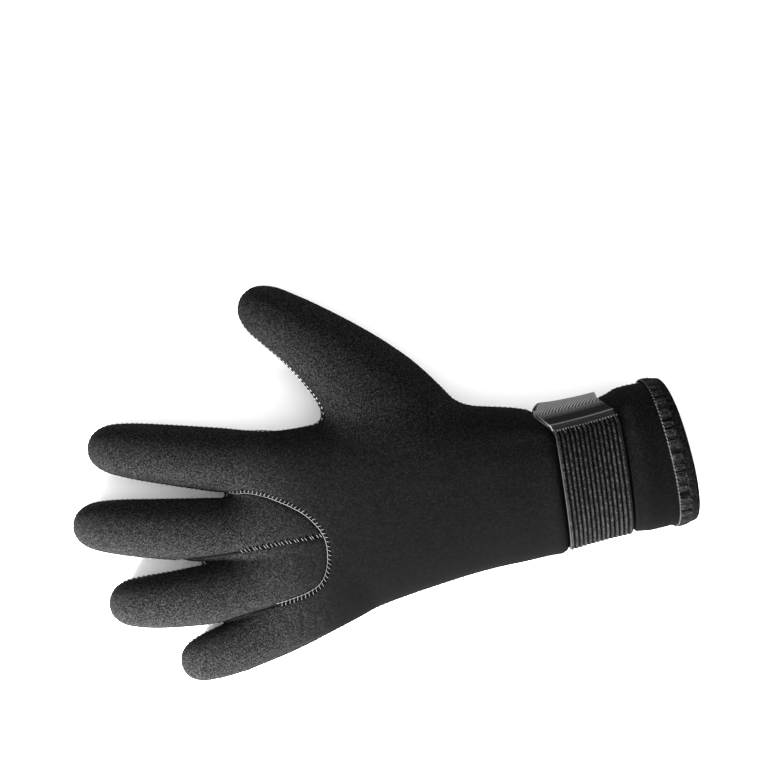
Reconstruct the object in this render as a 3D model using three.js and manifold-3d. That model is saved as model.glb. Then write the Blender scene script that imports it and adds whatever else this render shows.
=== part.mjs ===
// Left-hand neoprene diving glove, lying palm down and keeping its form.
// Millimetres. +Z up, +X along the hand towards the cuff's mouth, +Y towards the thumb.
// The digits point to -X. The origin is the middle of the glove's box, on the surface that it lies on.
import * as THREE from 'three';
import { mergeVertices } from 'three/addons/utils/BufferGeometryUtils.js';
import Module from 'manifold-3d';

const wasm = await Module();
wasm.setup();

// Sheet and clearances
const WALL = 3.0;                // neoprene with its knitted faces
const SEAM_GAP = 0.3;            // between the edges of two panels
const SEAT_GAP = 0.35;           // under the strap, the tab and the hem

// Hand, measured from the crease of the wrist
const HAND_LENGTH = 163;         // to the end of the web between the fingers
const KNUCKLE_WIDTH = 94.5;
const HAND_HEIGHT = 38;          // highest place of the back of the hand

// Wrist and cuff, measured from the same crease
const CUFF_LENGTH = 41.5;        // to the cut edge under the hem
const WRIST_WIDTH = 64;
const WRIST_HEIGHT = 45.5;

// Digits: length from the root inside the hand to the tip, width and height at the root
const THUMB_LENGTH = 110.2;
const THUMB_WIDTH = 44;
const THUMB_HEIGHT = 27;
const INDEX_LENGTH = 82.4;
const MIDDLE_LENGTH = 83.6;
const RING_LENGTH = 71;
const LITTLE_LENGTH = 65;
const FINGER_WIDTH = 28.6;
const RING_WIDTH = 27.4;
const LITTLE_WIDTH = 25.4;
const FINGER_HEIGHT = 24;
const LITTLE_HEIGHT = 22;

// Seams on the back of the hand
const INSERT_DEPTH = 48;         // U-shaped seam behind the middle and ring fingers
const INSERT_WIDTH = 54;

// Strap, tab and hem
const STRAP_WIDTH = 28;
const STRAP_PLACE = 6.6;         // its middle, from the crease towards the mouth
const STRAP_THICKNESS = 1.8;
const STRAP_RIBS = 14;
const RIB_DEPTH = 0.5;           // how deep the grooves between the ribs are
const TAB_THICKNESS = 1.4;
const TAB_STAND_OFF = 1.1;       // how far the folded tape arches off the thumb side
const HEM_WIDTH = 7.5;
const HEM_THICKNESS = 1.0;
const HEM_CHAMFER = 0.4;

// Facets
const HAND_SIDES = 32;
const DIGIT_SIDES = 14;
const HOLLOW_SIDES = 24;
const DIGIT_HOLLOW_SIDES = 10;
const SEAM_CELL = 16;            // spacing of the curved surface that parts the back from the palm
const OUTLINE_POINTS = 42;       // along each seam that runs over the back of the hand
const OUTLINE_STEP = 0.02;       // radians between the points that give an outline's direction
const MERGE_DISTANCE = 1e-4;
const REACH = 400;               // larger than the glove, for the blocks that cut it

// Roundness of the sections: 2 is an ellipse, more is squarer
const BACK_ROUNDNESS = 2.25;
const PALM_ROUNDNESS = 2.7;
const DIGIT_BACK_ROUNDNESS = 2.15;
const DIGIT_PALM_ROUNDNESS = 2.3;
const LEAST_HALF = 0.3;          // half the size of the smallest ring, at a digit's tip

// Sections of the hand from the finger web to the wrist.
// at: share of HAND_LENGTH. thumb, little: edges, shares of KNUCKLE_WIDTH. crown, sole: shares of HAND_HEIGHT,
// where a sole below nought is pressed flat by the surface.
const HAND_ROWS = [
  { at: 1.000, thumb: 0.148, little: -0.317, crown: 0.39, sole: 0.16 },
  { at: 0.970, thumb: 0.245, little: -0.381, crown: 0.55, sole: 0.08 },
  { at: 0.920, thumb: 0.445, little: -0.423, crown: 0.68, sole: 0.00 },
  { at: 0.847, thumb: 0.571, little: -0.420, crown: 0.78, sole: -0.03 },
  { at: 0.736, thumb: 0.561, little: -0.384, crown: 0.85, sole: -0.03 },
  { at: 0.613, thumb: 0.550, little: -0.346, crown: 0.91, sole: -0.03 },
  { at: 0.460, thumb: 0.529, little: -0.328, crown: 0.97, sole: -0.03 },
  { at: 0.307, thumb: 0.476, little: -0.317, crown: 1.03, sole: -0.02 },
  { at: 0.184, thumb: 0.400, little: -0.324, crown: 1.09, sole: 0.01 },
];

// Sections of the wrist and cuff.
// edge: the strap's edge that the section lies by (0: the crease). at: share of CUFF_LENGTH beyond it.
// thumb, little: shares of WRIST_WIDTH. crown, sole: shares of WRIST_HEIGHT.
// slant: turn of the section in plan, as the strap runs. lean: how far its top leads towards the mouth.
// pull: how much of the strap's pull towards the hand it follows on the thumb side.
const CUFF_ROWS = [
  { edge: -1, at: -0.11, thumb: 0.484, little: -0.470, crown: 0.935, sole: 0.049, slant: 0.10, lean: 0.00, pull: 0.8 },
  { edge: -1, at: -0.03, thumb: 0.456, little: -0.450, crown: 0.932, sole: 0.052, slant: 0.137, lean: 0.00, pull: 1.0 },
  { edge: 1, at: 0.03, thumb: 0.456, little: -0.448, crown: 0.950, sole: 0.052, slant: 0.137, lean: 0.02, pull: 1.0 },
  { edge: 1, at: 0.17, thumb: 0.500, little: -0.476, crown: 0.990, sole: 0.036, slant: 0.08, lean: 0.06, pull: 0.4 },
  { edge: 0, at: 0.80, thumb: 0.506, little: -0.490, crown: 1.000, sole: 0.034, slant: 0.02, lean: 0.13, pull: 0.0 },
  { edge: 0, at: 1.00, thumb: 0.490, little: -0.480, crown: 1.000, sole: 0.034, slant: 0.00, lean: 0.15, pull: 0.0 },
];

// Digits. along: root from the wrist's crease, share of HAND_LENGTH. across: share of KNUCKLE_WIDTH.
// heading: degrees from +X in plan. bow: sideways bulge of the middle, share of the length.
// roll: how far the side seams turn up on the side that faces the thumb (on the thumb: the index finger).
const DIGITS = [
  { name: 'thumb', length: THUMB_LENGTH, width: THUMB_WIDTH, height: THUMB_HEIGHT,
    along: 0.356, across: 0.275, heading: 127.4, bow: -0.044, roll: 17, thumbSide: 1 },
  { name: 'index', length: INDEX_LENGTH, width: FINGER_WIDTH, height: FINGER_HEIGHT,
    along: 0.798, across: 0.408, heading: 159.1, bow: 0.0, roll: -3, thumbSide: -1 },
  { name: 'middle', length: MIDDLE_LENGTH, width: FINGER_WIDTH, height: FINGER_HEIGHT,
    along: 0.871, across: 0.133, heading: 163.5, bow: 0.01, roll: 9, thumbSide: -1 },
  { name: 'ring', length: RING_LENGTH, width: RING_WIDTH, height: FINGER_HEIGHT,
    along: 0.890, across: -0.097, heading: 173.7, bow: 0.038, roll: 17, thumbSide: -1 },
  { name: 'little', length: LITTLE_LENGTH, width: LITTLE_WIDTH, height: LITTLE_HEIGHT,
    along: 0.785, across: -0.265, heading: 190.0, bow: 0.04, roll: 17, thumbSide: -1 },
];

// Sections of a finger. at: share of its length. width, height: shares of its own. centre: share of the height.
const FINGER_ROWS = [
  { at: 0.000, width: 1.00, height: 0.96, centre: 0.52 },
  { at: 0.250, width: 1.00, height: 1.00, centre: 0.48 },
  { at: 0.450, width: 0.96, height: 1.00, centre: 0.47 },
  { at: 0.600, width: 0.92, height: 0.97, centre: 0.45 },
  { at: 0.740, width: 0.87, height: 0.91, centre: 0.42 },
  { at: 0.850, width: 0.79, height: 0.82, centre: 0.39 },
  { at: 0.915, width: 0.69, height: 0.71, centre: 0.37 },
  { at: 0.960, width: 0.53, height: 0.55, centre: 0.36 },
  { at: 0.985, width: 0.36, height: 0.38, centre: 0.355 },
  { at: 1.000, width: 0.12, height: 0.13, centre: 0.35 },
];

// Sections of the thumb, in the same columns. side: shift of the section towards the index finger,
// share of THUMB_WIDTH.
const THUMB_ROWS = [
  { at: 0.000, width: 0.96, height: 1.10, centre: 0.56, side: 0.03 },
  { at: 0.160, width: 1.04, height: 1.12, centre: 0.54, side: 0.05 },
  { at: 0.310, width: 1.12, height: 1.08, centre: 0.52, side: 0.09 },
  { at: 0.400, width: 1.06, height: 1.05, centre: 0.50, side: 0.08 },
  { at: 0.500, width: 0.90, height: 1.02, centre: 0.49, side: 0.03 },
  { at: 0.600, width: 0.79, height: 1.00, centre: 0.48, side: 0.01 },
  { at: 0.700, width: 0.70, height: 0.96, centre: 0.46, side: 0.00 },
  { at: 0.810, width: 0.62, height: 0.90, centre: 0.43, side: 0.00 },
  { at: 0.895, width: 0.55, height: 0.79, centre: 0.40, side: 0.00 },
  { at: 0.945, width: 0.45, height: 0.65, centre: 0.38, side: 0.00 },
  { at: 0.980, width: 0.31, height: 0.45, centre: 0.37, side: 0.00 },
  { at: 1.000, width: 0.09, height: 0.13, centre: 0.36, side: 0.00 },
];

// The U-shaped seam. back: share of INSERT_DEPTH from the finger web towards the wrist.
// side: share of half INSERT_WIDTH towards the thumb.
const INSERT_ROWS = [
  { back: 0.22, side: 1.00 },
  { back: 0.41, side: 0.93 },
  { back: 0.63, side: 0.73 },
  { back: 0.87, side: 0.37 },
  { back: 0.99, side: -0.04 },
  { back: 0.97, side: -0.44 },
  { back: 0.87, side: -0.76 },
  { back: 0.69, side: -0.90 },
  { back: 0.34, side: -0.96 },
  { back: 0.02, side: -1.00 },
];
const INSERT_MIDDLE = 0.053;     // middle of the U, share of KNUCKLE_WIDTH towards the thumb

// How that outline runs on ahead of the U, through the gaps beside the two fingers.
// ahead: from the end of the U, share of MIDDLE_LENGTH. out: away from the two fingers, share of it too.
const INDEX_GAP_ROWS = [
  { ahead: 1.05, out: 0.385 },
  { ahead: 0.33, out: 0.103 },
];
const LITTLE_GAP_ROWS = [
  { ahead: 0.31, out: 0.026 },
  { ahead: 0.93, out: 0.0 },
];

// Seam between the two inserts. back: share of INSERT_DEPTH from the finger web towards the wrist.
// side: from the middle of the U towards the thumb, share of INSERT_WIDTH.
const MIDDLE_SEAM_ROWS = [
  { back: 1.30, side: -0.035 },
  { back: 0.55, side: 0.0 },
  { back: 0.20, side: 0.015 },
  { back: -0.05, side: 0.03 },
  { back: -0.50, side: 0.085 },
  { back: -0.95, side: 0.16 },
  { back: -1.90, side: 0.355 },
];

const rad = THREE.MathUtils.degToRad;

// Smooth value of one column of a table between its rows.
function columnAt(rows, key, at, column) {
  const last = rows.length - 1;
  let i = 0;
  while (i < last - 1 && rows[i + 1][key] < at) i += 1;
  const a = rows[i];
  const b = rows[i + 1];
  const before = rows[Math.max(i - 1, 0)];
  const after = rows[Math.min(i + 2, last)];
  const span = b[key] - a[key];
  const t = (at - a[key]) / span;
  if (t < 0 || t > 1) return a[column] + (b[column] - a[column]) * t;
  const slopeA = (b[column] - before[column]) / (b[key] - before[key]) * span;
  const slopeB = (after[column] - a[column]) / (after[key] - a[key]) * span;
  const t2 = t * t;
  const t3 = t2 * t;
  return a[column] * (2 * t3 - 3 * t2 + 1) + b[column] * (3 * t2 - 2 * t3)
    + slopeA * (t3 - 2 * t2 + t) + slopeB * (t3 - t2);
}

// Hand and cuff sections in millimetres, from the finger web to the mouth.
const BODY_ROWS = [
  ...HAND_ROWS.map((row) => ({
    x: -row.at * HAND_LENGTH,
    thumb: row.thumb * KNUCKLE_WIDTH,
    little: row.little * KNUCKLE_WIDTH,
    crown: row.crown * HAND_HEIGHT,
    sole: row.sole * HAND_HEIGHT,
    slant: 0,
    lean: 0,
    pull: 0,
  })),
  ...CUFF_ROWS.map((row) => ({
    x: Math.abs(row.edge) * STRAP_PLACE + row.edge * STRAP_WIDTH / 2 + row.at * CUFF_LENGTH,
    thumb: row.thumb * WRIST_WIDTH,
    little: row.little * WRIST_WIDTH,
    crown: row.crown * WRIST_HEIGHT,
    sole: row.sole * WRIST_HEIGHT,
    slant: row.slant,
    lean: row.lean,
    pull: row.pull,
  })),
];

function bodyRow(x) {
  const row = { x };
  for (const column of ['thumb', 'little', 'crown', 'sole', 'slant', 'lean', 'pull']) {
    row[column] = columnAt(BODY_ROWS, 'x', x, column);
  }
  return row;
}

// Point of a rounded section: angle 0 faces the thumb, a quarter turn up is the back of the hand.
// The upper half is an ellipse a little squared, the lower half is flatter.
function roundedPoint(angle, halfWidth, up, down, upperPower, lowerPower) {
  const c = Math.cos(angle);
  const s = Math.sin(angle);
  const power = s >= 0 ? upperPower : lowerPower;
  const y = Math.sign(c) * halfWidth * Math.abs(c) ** (2 / power);
  const z = s >= 0 ? up * Math.abs(s) ** (2 / power) : -down * Math.abs(s) ** (2 / power);
  return [y, z];
}

const STRAP_PULL = 0.28;         // how far the strap wanders towards the hand, share of its width
const PULL_BACK_DEGREES = 48;      // degrees from the thumb side where the pull starts, on the back
const PULL_BACK_EASE_DEGREES = 30; // degrees over which it comes in there
const PULL_PALM_DEGREES = 85;      // degrees from the thumb side where it ends, on the palm side
const PULL_PALM_EASE_DEGREES = 50;

function smooth(t) {
  const c = THREE.MathUtils.clamp(t, 0, 1);
  return c * c * (3 - 2 * c);
}

// How far the strap is pulled towards the hand at an angle round the wrist.
function strapPull(angle) {
  const degrees = THREE.MathUtils.radToDeg(angle);
  const turn = degrees > 180 ? degrees - 360 : degrees;
  const onBack = smooth((PULL_BACK_DEGREES - turn) / PULL_BACK_EASE_DEGREES);
  const onPalm = smooth((PULL_PALM_DEGREES + turn) / PULL_PALM_EASE_DEGREES);
  const share = turn > 0 ? onBack : onPalm;
  return STRAP_PULL * STRAP_WIDTH * share;
}

const BODY_MIDDLE = 0.46;        // height of a hand section's widest place, share of its own height

// Point on the hand or cuff at a station, moved out by a distance square to the section's outline.
function bodyPoint(x, angle, out) {
  const row = bodyRow(x);
  const halfWidth = (row.thumb - row.little) / 2;
  const middleY = (row.thumb + row.little) / 2;
  const middleZ = row.sole + BODY_MIDDLE * (row.crown - row.sole);
  const up = row.crown - middleZ;
  const down = middleZ - row.sole;
  const outline = (a) => roundedPoint(a, halfWidth, up, down, BACK_ROUNDNESS, PALM_ROUNDNESS);
  const [y, z] = outline(angle);
  const [y1, z1] = outline(angle + OUTLINE_STEP);
  const [y0, z0] = outline(angle - OUTLINE_STEP);
  const length = Math.hypot(z1 - z0, y1 - y0);
  const py = middleY + y + out * (z1 - z0) / length;
  const pz = middleZ + z - out * (y1 - y0) / length;
  const shift = row.slant * py + row.lean * (pz - middleZ) - row.pull * strapPull(angle);
  return new THREE.Vector3(x + shift, py, pz);
}

// Closed skin over rings of points, with a fan at both ends.
function skinRings(rings) {
  const sides = rings[0].length;
  const points = rings.flat();
  const faces = [];
  for (let i = 0; i < rings.length - 1; i += 1) {
    for (let j = 0; j < sides; j += 1) {
      const a = i * sides + j;
      const b = i * sides + (j + 1) % sides;
      faces.push(a, b, b + sides, a, b + sides, a + sides);
    }
  }
  for (const [ring, turned] of [[0, true], [rings.length - 1, false]]) {
    const centre = new THREE.Vector3();
    rings[ring].forEach((p) => centre.addScaledVector(p, 1 / sides));
    points.push(centre);
    for (let j = 0; j < sides; j += 1) {
      const a = ring * sides + j;
      const b = ring * sides + (j + 1) % sides;
      if (turned) faces.push(points.length - 1, b, a);
      else faces.push(points.length - 1, a, b);
    }
  }
  return meshOf(points, faces);
}

// Closed band: rings of a closed profile, joined round to the first ring.
function skinBand(rings) {
  const sides = rings[0].length;
  const points = rings.flat();
  const faces = [];
  for (let i = 0; i < rings.length; i += 1) {
    const next = (i + 1) % rings.length;
    for (let j = 0; j < sides; j += 1) {
      const k = (j + 1) % sides;
      const a = i * sides + j;
      const b = i * sides + k;
      const c = next * sides + k;
      const d = next * sides + j;
      faces.push(a, b, c, a, c, d);
    }
  }
  return meshOf(points, faces);
}

function meshOf(points, faces) {
  const geometry = new THREE.BufferGeometry().setFromPoints(points);
  geometry.setIndex(faces);
  return geometry;
}

function signedVolume(geometry) {
  const p = geometry.attributes.position;
  const index = geometry.index;
  const a = new THREE.Vector3();
  const b = new THREE.Vector3();
  const c = new THREE.Vector3();
  let sum = 0;
  for (let i = 0; i < index.count; i += 3) {
    a.fromBufferAttribute(p, index.getX(i));
    b.fromBufferAttribute(p, index.getX(i + 1));
    c.fromBufferAttribute(p, index.getX(i + 2));
    sum += a.dot(b.cross(c)) / 6;
  }
  return sum;
}

// Turns a skin's faces outwards where they point in.
function facingOut(geometry) {
  if (signedVolume(geometry) > 0) return geometry;
  const index = geometry.index.array;
  for (let i = 0; i < index.length; i += 3) {
    const swap = index[i];
    index[i] = index[i + 1];
    index[i + 1] = swap;
  }
  return geometry;
}

function toSolid(geometry) {
  const bare = geometry.clone();
  bare.deleteAttribute('normal');
  bare.deleteAttribute('uv');
  const merged = facingOut(mergeVertices(bare, MERGE_DISTANCE));
  return new wasm.Manifold(new wasm.Mesh({
    numProp: 3,
    vertProperties: new Float32Array(merged.attributes.position.array),
    triVerts: new Uint32Array(merged.index.array),
  }));
}

function toGeometry(solid) {
  const mesh = solid.getMesh();
  const geometry = new THREE.BufferGeometry();
  geometry.setAttribute('position', new THREE.BufferAttribute(new Float32Array(mesh.vertProperties), 3));
  geometry.setIndex(new THREE.BufferAttribute(new Uint32Array(mesh.triVerts), 1));
  return geometry;
}

// Where a digit's middle line is at a share of its length, and which way is square to it in plan.
function digitFrame(digit, at) {
  const heading = rad(digit.heading);
  const bow = digit.bow * digit.length;
  const side = new THREE.Vector2(-Math.sin(heading), Math.cos(heading));
  const ahead = new THREE.Vector2(Math.cos(heading), Math.sin(heading));
  const root = new THREE.Vector2(-digit.along * HAND_LENGTH, digit.across * KNUCKLE_WIDTH);
  const point = root.clone().addScaledVector(ahead, digit.length * at);
  point.addScaledVector(side, 4 * bow * at * (1 - at));
  const turn = Math.atan(4 * digit.bow * (1 - 2 * at));
  side.rotateAround(new THREE.Vector2(), turn);
  return { point, side };
}

// A digit as rings along its middle line. inset makes the hollow: shorter, narrower and lower.
function digitSkin(digit, rows, inset, sides) {
  const rings = rows.map((row) => {
    const at = row.at * (1 - inset / digit.length);
    const { point, side } = digitFrame(digit, at);
    const half = Math.max(row.width * digit.width / 2 - inset, LEAST_HALF);
    const high = Math.max(row.height * digit.height / 2 - inset, LEAST_HALF);
    const middle = row.centre * digit.height;
    const shift = (row.side ?? 0) * digit.width;
    const ring = [];
    for (let j = 0; j < sides; j += 1) {
      const angle = 2 * Math.PI * j / sides;
      const [y, z] = roundedPoint(angle, half, high, high, DIGIT_BACK_ROUNDNESS, DIGIT_PALM_ROUNDNESS);
      const across = y + shift;
      ring.push(new THREE.Vector3(point.x + side.x * across, point.y + side.y * across, middle + z));
    }
    return ring;
  });
  return toSolid(skinRings(rings));
}

// The hand and cuff as rings. The hollow runs on past the mouth, so that the cuff is open.
function bodySkin(inset, sides, overrun) {
  const stations = BODY_ROWS.map((row) => row.x);
  if (inset > 0) stations[0] += inset;
  stations[stations.length - 1] += overrun;
  const rings = stations.map((x) => {
    const ring = [];
    for (let j = 0; j < sides; j += 1) {
      ring.push(bodyPoint(x, 2 * Math.PI * j / sides, -inset));
    }
    return ring;
  });
  return toSolid(skinRings(rings));
}

function block(x0, x1, y0, y1, z0, z1) {
  const geometry = new THREE.BoxGeometry(x1 - x0, y1 - y0, z1 - z0);
  geometry.translate((x0 + x1) / 2, (y0 + y1) / 2, (z0 + z1) / 2);
  return toSolid(geometry);
}

function rowsOf(digit) {
  return digit.name === 'thumb' ? THUMB_ROWS : FINGER_ROWS;
}

// Whole glove: outside of hand and digits, less the hollow, cut flat where it rests.
function gloveShell() {
  let outside = bodySkin(0, HAND_SIDES, 0);
  let hollow = bodySkin(WALL, HOLLOW_SIDES, CUFF_LENGTH);
  for (const digit of DIGITS) {
    outside = outside.add(digitSkin(digit, rowsOf(digit), 0, DIGIT_SIDES));
    hollow = hollow.add(digitSkin(digit, rowsOf(digit), WALL, DIGIT_HOLLOW_SIDES));
  }
  const below = block(-REACH, REACH, -REACH, REACH, -REACH, 0);
  const belowFloor = block(-REACH, REACH, -REACH, REACH, -REACH, WALL);
  return outside.subtract(below).subtract(hollow.subtract(belowFloor));
}

const SEAM_LEVEL = 0.46;         // height of the side seams, share of a digit's height
const SEAM_BODY_LEVEL = 0.44;    // the same on the hand and cuff, share of the section's height
const SEAM_HAND_WEIGHT = 0.06;   // pull of the hand's level against that of a digit's middle line
const SEAM_DIGIT_START = 0.05;   // share of a digit's length where its own level comes in
const SEAM_DIGIT_EASE = 0.4;     // share of its length over which it comes in

// Height of the seam between back and palm over a place in plan.
// Each digit asks for its own level and tilt near itself, and the hand for its own level elsewhere.
function seamHeight(x, y) {
  const row = bodyRow(THREE.MathUtils.clamp(x, -HAND_LENGTH, CUFF_LENGTH));
  const handLevel = row.sole + SEAM_BODY_LEVEL * (row.crown - row.sole);
  let sum = handLevel * SEAM_HAND_WEIGHT;
  let total = SEAM_HAND_WEIGHT;
  for (const digit of DIGITS) {
    const heading = rad(digit.heading);
    const dx = x + digit.along * HAND_LENGTH;
    const dy = y - digit.across * KNUCKLE_WIDTH;
    const at = (dx * Math.cos(heading) + dy * Math.sin(heading)) / digit.length;
    const near = THREE.MathUtils.clamp(at, 0, 1);
    const { point, side } = digitFrame(digit, near);
    const across = (x - point.x) * side.x + (y - point.y) * side.y;
    const reach = digit.width / 2;
    const away = Math.hypot(x - point.x, y - point.y) / reach;
    const weight = smooth((at - SEAM_DIGIT_START) / SEAM_DIGIT_EASE) / (1 + away ** 4);
    const tilt = Math.tan(rad(digit.roll)) * digit.thumbSide;
    const tilted = THREE.MathUtils.clamp(across, -reach, reach) * tilt;
    const centre = columnAt(rowsOf(digit), 'at', near, 'centre') * digit.height;
    const level = centre + (SEAM_LEVEL - 1 / 2) * digit.height;
    sum += weight * (level + tilted);
    total += weight;
  }
  return sum / total;
}

// Everything below the seam surface, moved by an offset, as a solid.
function belowSeam(offset) {
  const x0 = -HAND_LENGTH - MIDDLE_LENGTH;
  const x1 = 2 * CUFF_LENGTH;
  const y0 = -KNUCKLE_WIDTH;
  const y1 = KNUCKLE_WIDTH / 2 + THUMB_LENGTH;
  const nx = Math.ceil((x1 - x0) / SEAM_CELL);
  const ny = Math.ceil((y1 - y0) / SEAM_CELL);
  const sheet = new THREE.PlaneGeometry(x1 - x0, y1 - y0, nx, ny);
  sheet.translate((x0 + x1) / 2, (y0 + y1) / 2, 0);
  const p = sheet.attributes.position;
  const points = [];
  for (let i = 0; i < p.count; i += 1) {
    points.push(new THREE.Vector3(p.getX(i), p.getY(i), seamHeight(p.getX(i), p.getY(i)) + offset));
  }
  const faces = [...sheet.index.array];
  const rim = [];
  for (let i = 0; i <= nx; i += 1) rim.push(i);
  for (let j = 1; j <= ny; j += 1) rim.push(j * (nx + 1) + nx);
  for (let i = nx - 1; i >= 0; i -= 1) rim.push(ny * (nx + 1) + i);
  for (let j = ny - 1; j >= 1; j -= 1) rim.push(j * (nx + 1));
  const base = points.length;
  rim.forEach((k) => points.push(new THREE.Vector3(points[k].x, points[k].y, -HAND_HEIGHT)));
  points.push(new THREE.Vector3((x0 + x1) / 2, (y0 + y1) / 2, -HAND_HEIGHT));
  const foot = points.length - 1;
  for (let i = 0; i < rim.length; i += 1) {
    const next = (i + 1) % rim.length;
    faces.push(rim[i], rim[next], base + next, rim[i], base + next, base + i);
    faces.push(base + i, base + next, foot);
  }
  return toSolid(meshOf(points, faces));
}

// Upright block over an outline in plan.
function prism(outline) {
  const shape = new THREE.Shape(outline);
  const geometry = new THREE.ExtrudeGeometry(shape, { depth: 2 * REACH, bevelEnabled: false });
  geometry.translate(0, 0, -REACH);
  return toSolid(geometry);
}

const insertX = (back) => -HAND_LENGTH + back * INSERT_DEPTH;
const insertY = (side) => INSERT_MIDDLE * KNUCKLE_WIDTH + side * INSERT_WIDTH / 2;

// Outline of the middle and ring insert in plan, grown by an offset.
// It runs round the U and then forward through the gaps on both sides of the two fingers.
function insertOutline(grow) {
  const seam = INSERT_ROWS.map((row) => new THREE.Vector2(insertX(row.back), insertY(row.side)));
  const first = seam[0];
  const last = seam[seam.length - 1];
  const gap = (rows, end, way) => rows.map((row) => new THREE.Vector2(
    end.x - row.ahead * MIDDLE_LENGTH,
    end.y + way * row.out * MIDDLE_LENGTH,
  ));
  const line = [...gap(INDEX_GAP_ROWS, first, 1), ...seam, ...gap(LITTLE_GAP_ROWS, last, -1)];
  const path = new THREE.SplineCurve(line).getPoints(OUTLINE_POINTS);
  return path.map((p, i) => {
    const a = path[Math.max(i - 1, 0)];
    const b = path[Math.min(i + 1, path.length - 1)];
    const along = b.clone().sub(a).normalize();
    return new THREE.Vector2(p.x + along.y * -grow, p.y + along.x * grow);
  });
}

// Half of the plan on the middle finger's side of the seam between the two inserts, moved by an offset.
function middleSide(offset) {
  const line = MIDDLE_SEAM_ROWS.map((row) => new THREE.Vector2(insertX(row.back), insertY(2 * row.side)));
  const path = new THREE.SplineCurve(line).getPoints(OUTLINE_POINTS / 2);
  const edge = path.map((p) => new THREE.Vector2(p.x, p.y + offset));
  edge.push(new THREE.Vector2(edge[edge.length - 1].x, REACH));
  edge.push(new THREE.Vector2(edge[0].x, REACH));
  return prism(edge);
}

// Elastic round the wrist: a ribbed outside on a plain inside.
function strapGeometry() {
  const inner = SEAT_GAP;
  const outer = SEAT_GAP + STRAP_THICKNESS;
  const groove = outer - RIB_DEPTH;
  const pitch = STRAP_WIDTH / STRAP_RIBS;
  const profile = [[-STRAP_WIDTH / 2, inner], [-STRAP_WIDTH / 2, groove]];
  for (let rib = 0; rib < STRAP_RIBS; rib += 1) {
    const start = -STRAP_WIDTH / 2 + rib * pitch;
    profile.push([start + pitch / 2, outer]);
    if (rib < STRAP_RIBS - 1) profile.push([start + pitch, groove]);
  }
  profile.push([STRAP_WIDTH / 2, groove], [STRAP_WIDTH / 2, inner]);
  return bandOnBody(profile, STRAP_PLACE, HAND_SIDES);
}

// A closed profile of (place along the hand, height over the cuff) carried round the wrist.
function bandOnBody(profile, middle, sides) {
  const rings = [];
  for (let j = 0; j < sides; j += 1) {
    const angle = 2 * Math.PI * j / sides;
    rings.push(profile.map(([along, out]) => bodyPoint(middle + along, angle, out)));
  }
  return facingOut(skinBand(rings));
}

// Binding over the cut edge of the cuff, inside and outside.
function hemGeometry() {
  const outer = SEAT_GAP + HEM_THICKNESS;
  const inside = -WALL - SEAT_GAP;
  const lip = inside - HEM_THICKNESS;
  const edge = SEAT_GAP + HEM_THICKNESS;
  const profile = [
    [-HEM_WIDTH, SEAT_GAP],
    [-HEM_WIDTH, outer - HEM_CHAMFER],
    [-HEM_WIDTH + HEM_CHAMFER, outer],
    [0, outer],
    [edge, SEAT_GAP],
    [edge, inside],
    [0, lip],
    [-HEM_WIDTH, lip],
    [-HEM_WIDTH, inside],
    [SEAT_GAP, inside],
    [SEAT_GAP, SEAT_GAP],
  ];
  return bandOnBody(profile, CUFF_LENGTH, HAND_SIDES);
}

const TAB_START_DEGREES = 47;            // degrees round the wrist from the thumb side: sewn end, on the back
const TAB_END_DEGREES = -52;             // free end, on the palm side
const TAB_STEPS = 16;

// Tape sewn on the strap: it arches over the thumb side and lies down again below.
function tabGeometry() {
  const seat = SEAT_GAP + STRAP_THICKNESS + SEAT_GAP;
  const rings = [];
  for (let i = 0; i <= TAB_STEPS; i += 1) {
    const t = i / TAB_STEPS;
    const angle = rad(TAB_START_DEGREES + (TAB_END_DEGREES - TAB_START_DEGREES) * t);
    const lift = seat + TAB_STAND_OFF * Math.sin(Math.PI * t) ** 2;
    const left = STRAP_PLACE - STRAP_WIDTH / 2;
    const right = STRAP_PLACE + STRAP_WIDTH / 2;
    rings.push([
      bodyPoint(left, angle, lift),
      bodyPoint(left, angle, lift + TAB_THICKNESS),
      bodyPoint(right, angle, lift + TAB_THICKNESS),
      bodyPoint(right, angle, lift),
    ]);
  }
  return facingOut(skinRings(rings));
}

function material(color, roughness) {
  return new THREE.MeshStandardMaterial({ color, roughness, metalness: 0 });
}

const JERSEY = material(0x232324, 0.9);
const INSERT = material(0x2a2a2b, 0.9);
const PALM = material(0x161617, 0.55);
const ELASTIC = material(0x303032, 0.85);
const TAPE = material(0x4c4c4e, 0.7);
const BINDING = material(0x1b1b1c, 0.8);

function buildGlove() {
  const half = SEAM_GAP / 2;
  const shell = gloveShell();
  const palm = shell.intersect(belowSeam(-half));
  const back = shell.subtract(belowSeam(half));
  const insertArea = prism(insertOutline(-half));
  const insert = back.intersect(insertArea);
  const glove = new THREE.Group();
  const pieces = [
    ['back_panel', toGeometry(back.subtract(prism(insertOutline(half)))), JERSEY],
    ['middle_finger_back', toGeometry(insert.intersect(middleSide(half))), INSERT],
    ['ring_finger_back', toGeometry(insert.subtract(middleSide(-half))), INSERT],
    ['palm_panel', toGeometry(palm), PALM],
    ['wrist_strap', strapGeometry(), ELASTIC],
    ['strap_tab', tabGeometry(), TAPE],
    ['cuff_hem', hemGeometry(), BINDING],
  ];
  const box = new THREE.Box3();
  for (const [name, geometry, finish] of pieces) {
    const mesh = new THREE.Mesh(geometry, finish);
    mesh.name = name;
    glove.add(mesh);
    box.union(new THREE.Box3().setFromBufferAttribute(geometry.attributes.position));
  }
  const centre = box.getCenter(new THREE.Vector3());
  glove.position.set(-centre.x, -centre.y, 0);
  glove.updateMatrixWorld(true);
  return glove;
}

const glove = buildGlove();

export default glove;
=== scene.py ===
# %% [markdown]
# # A left-hand diving glove
# The glove is cut from 3 mm foam rubber faced with knitted nylon. It lies palm down, and is seen straight
# from above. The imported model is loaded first, as the frame that everything here has to fit.

# %% Load the frame
import math

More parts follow.
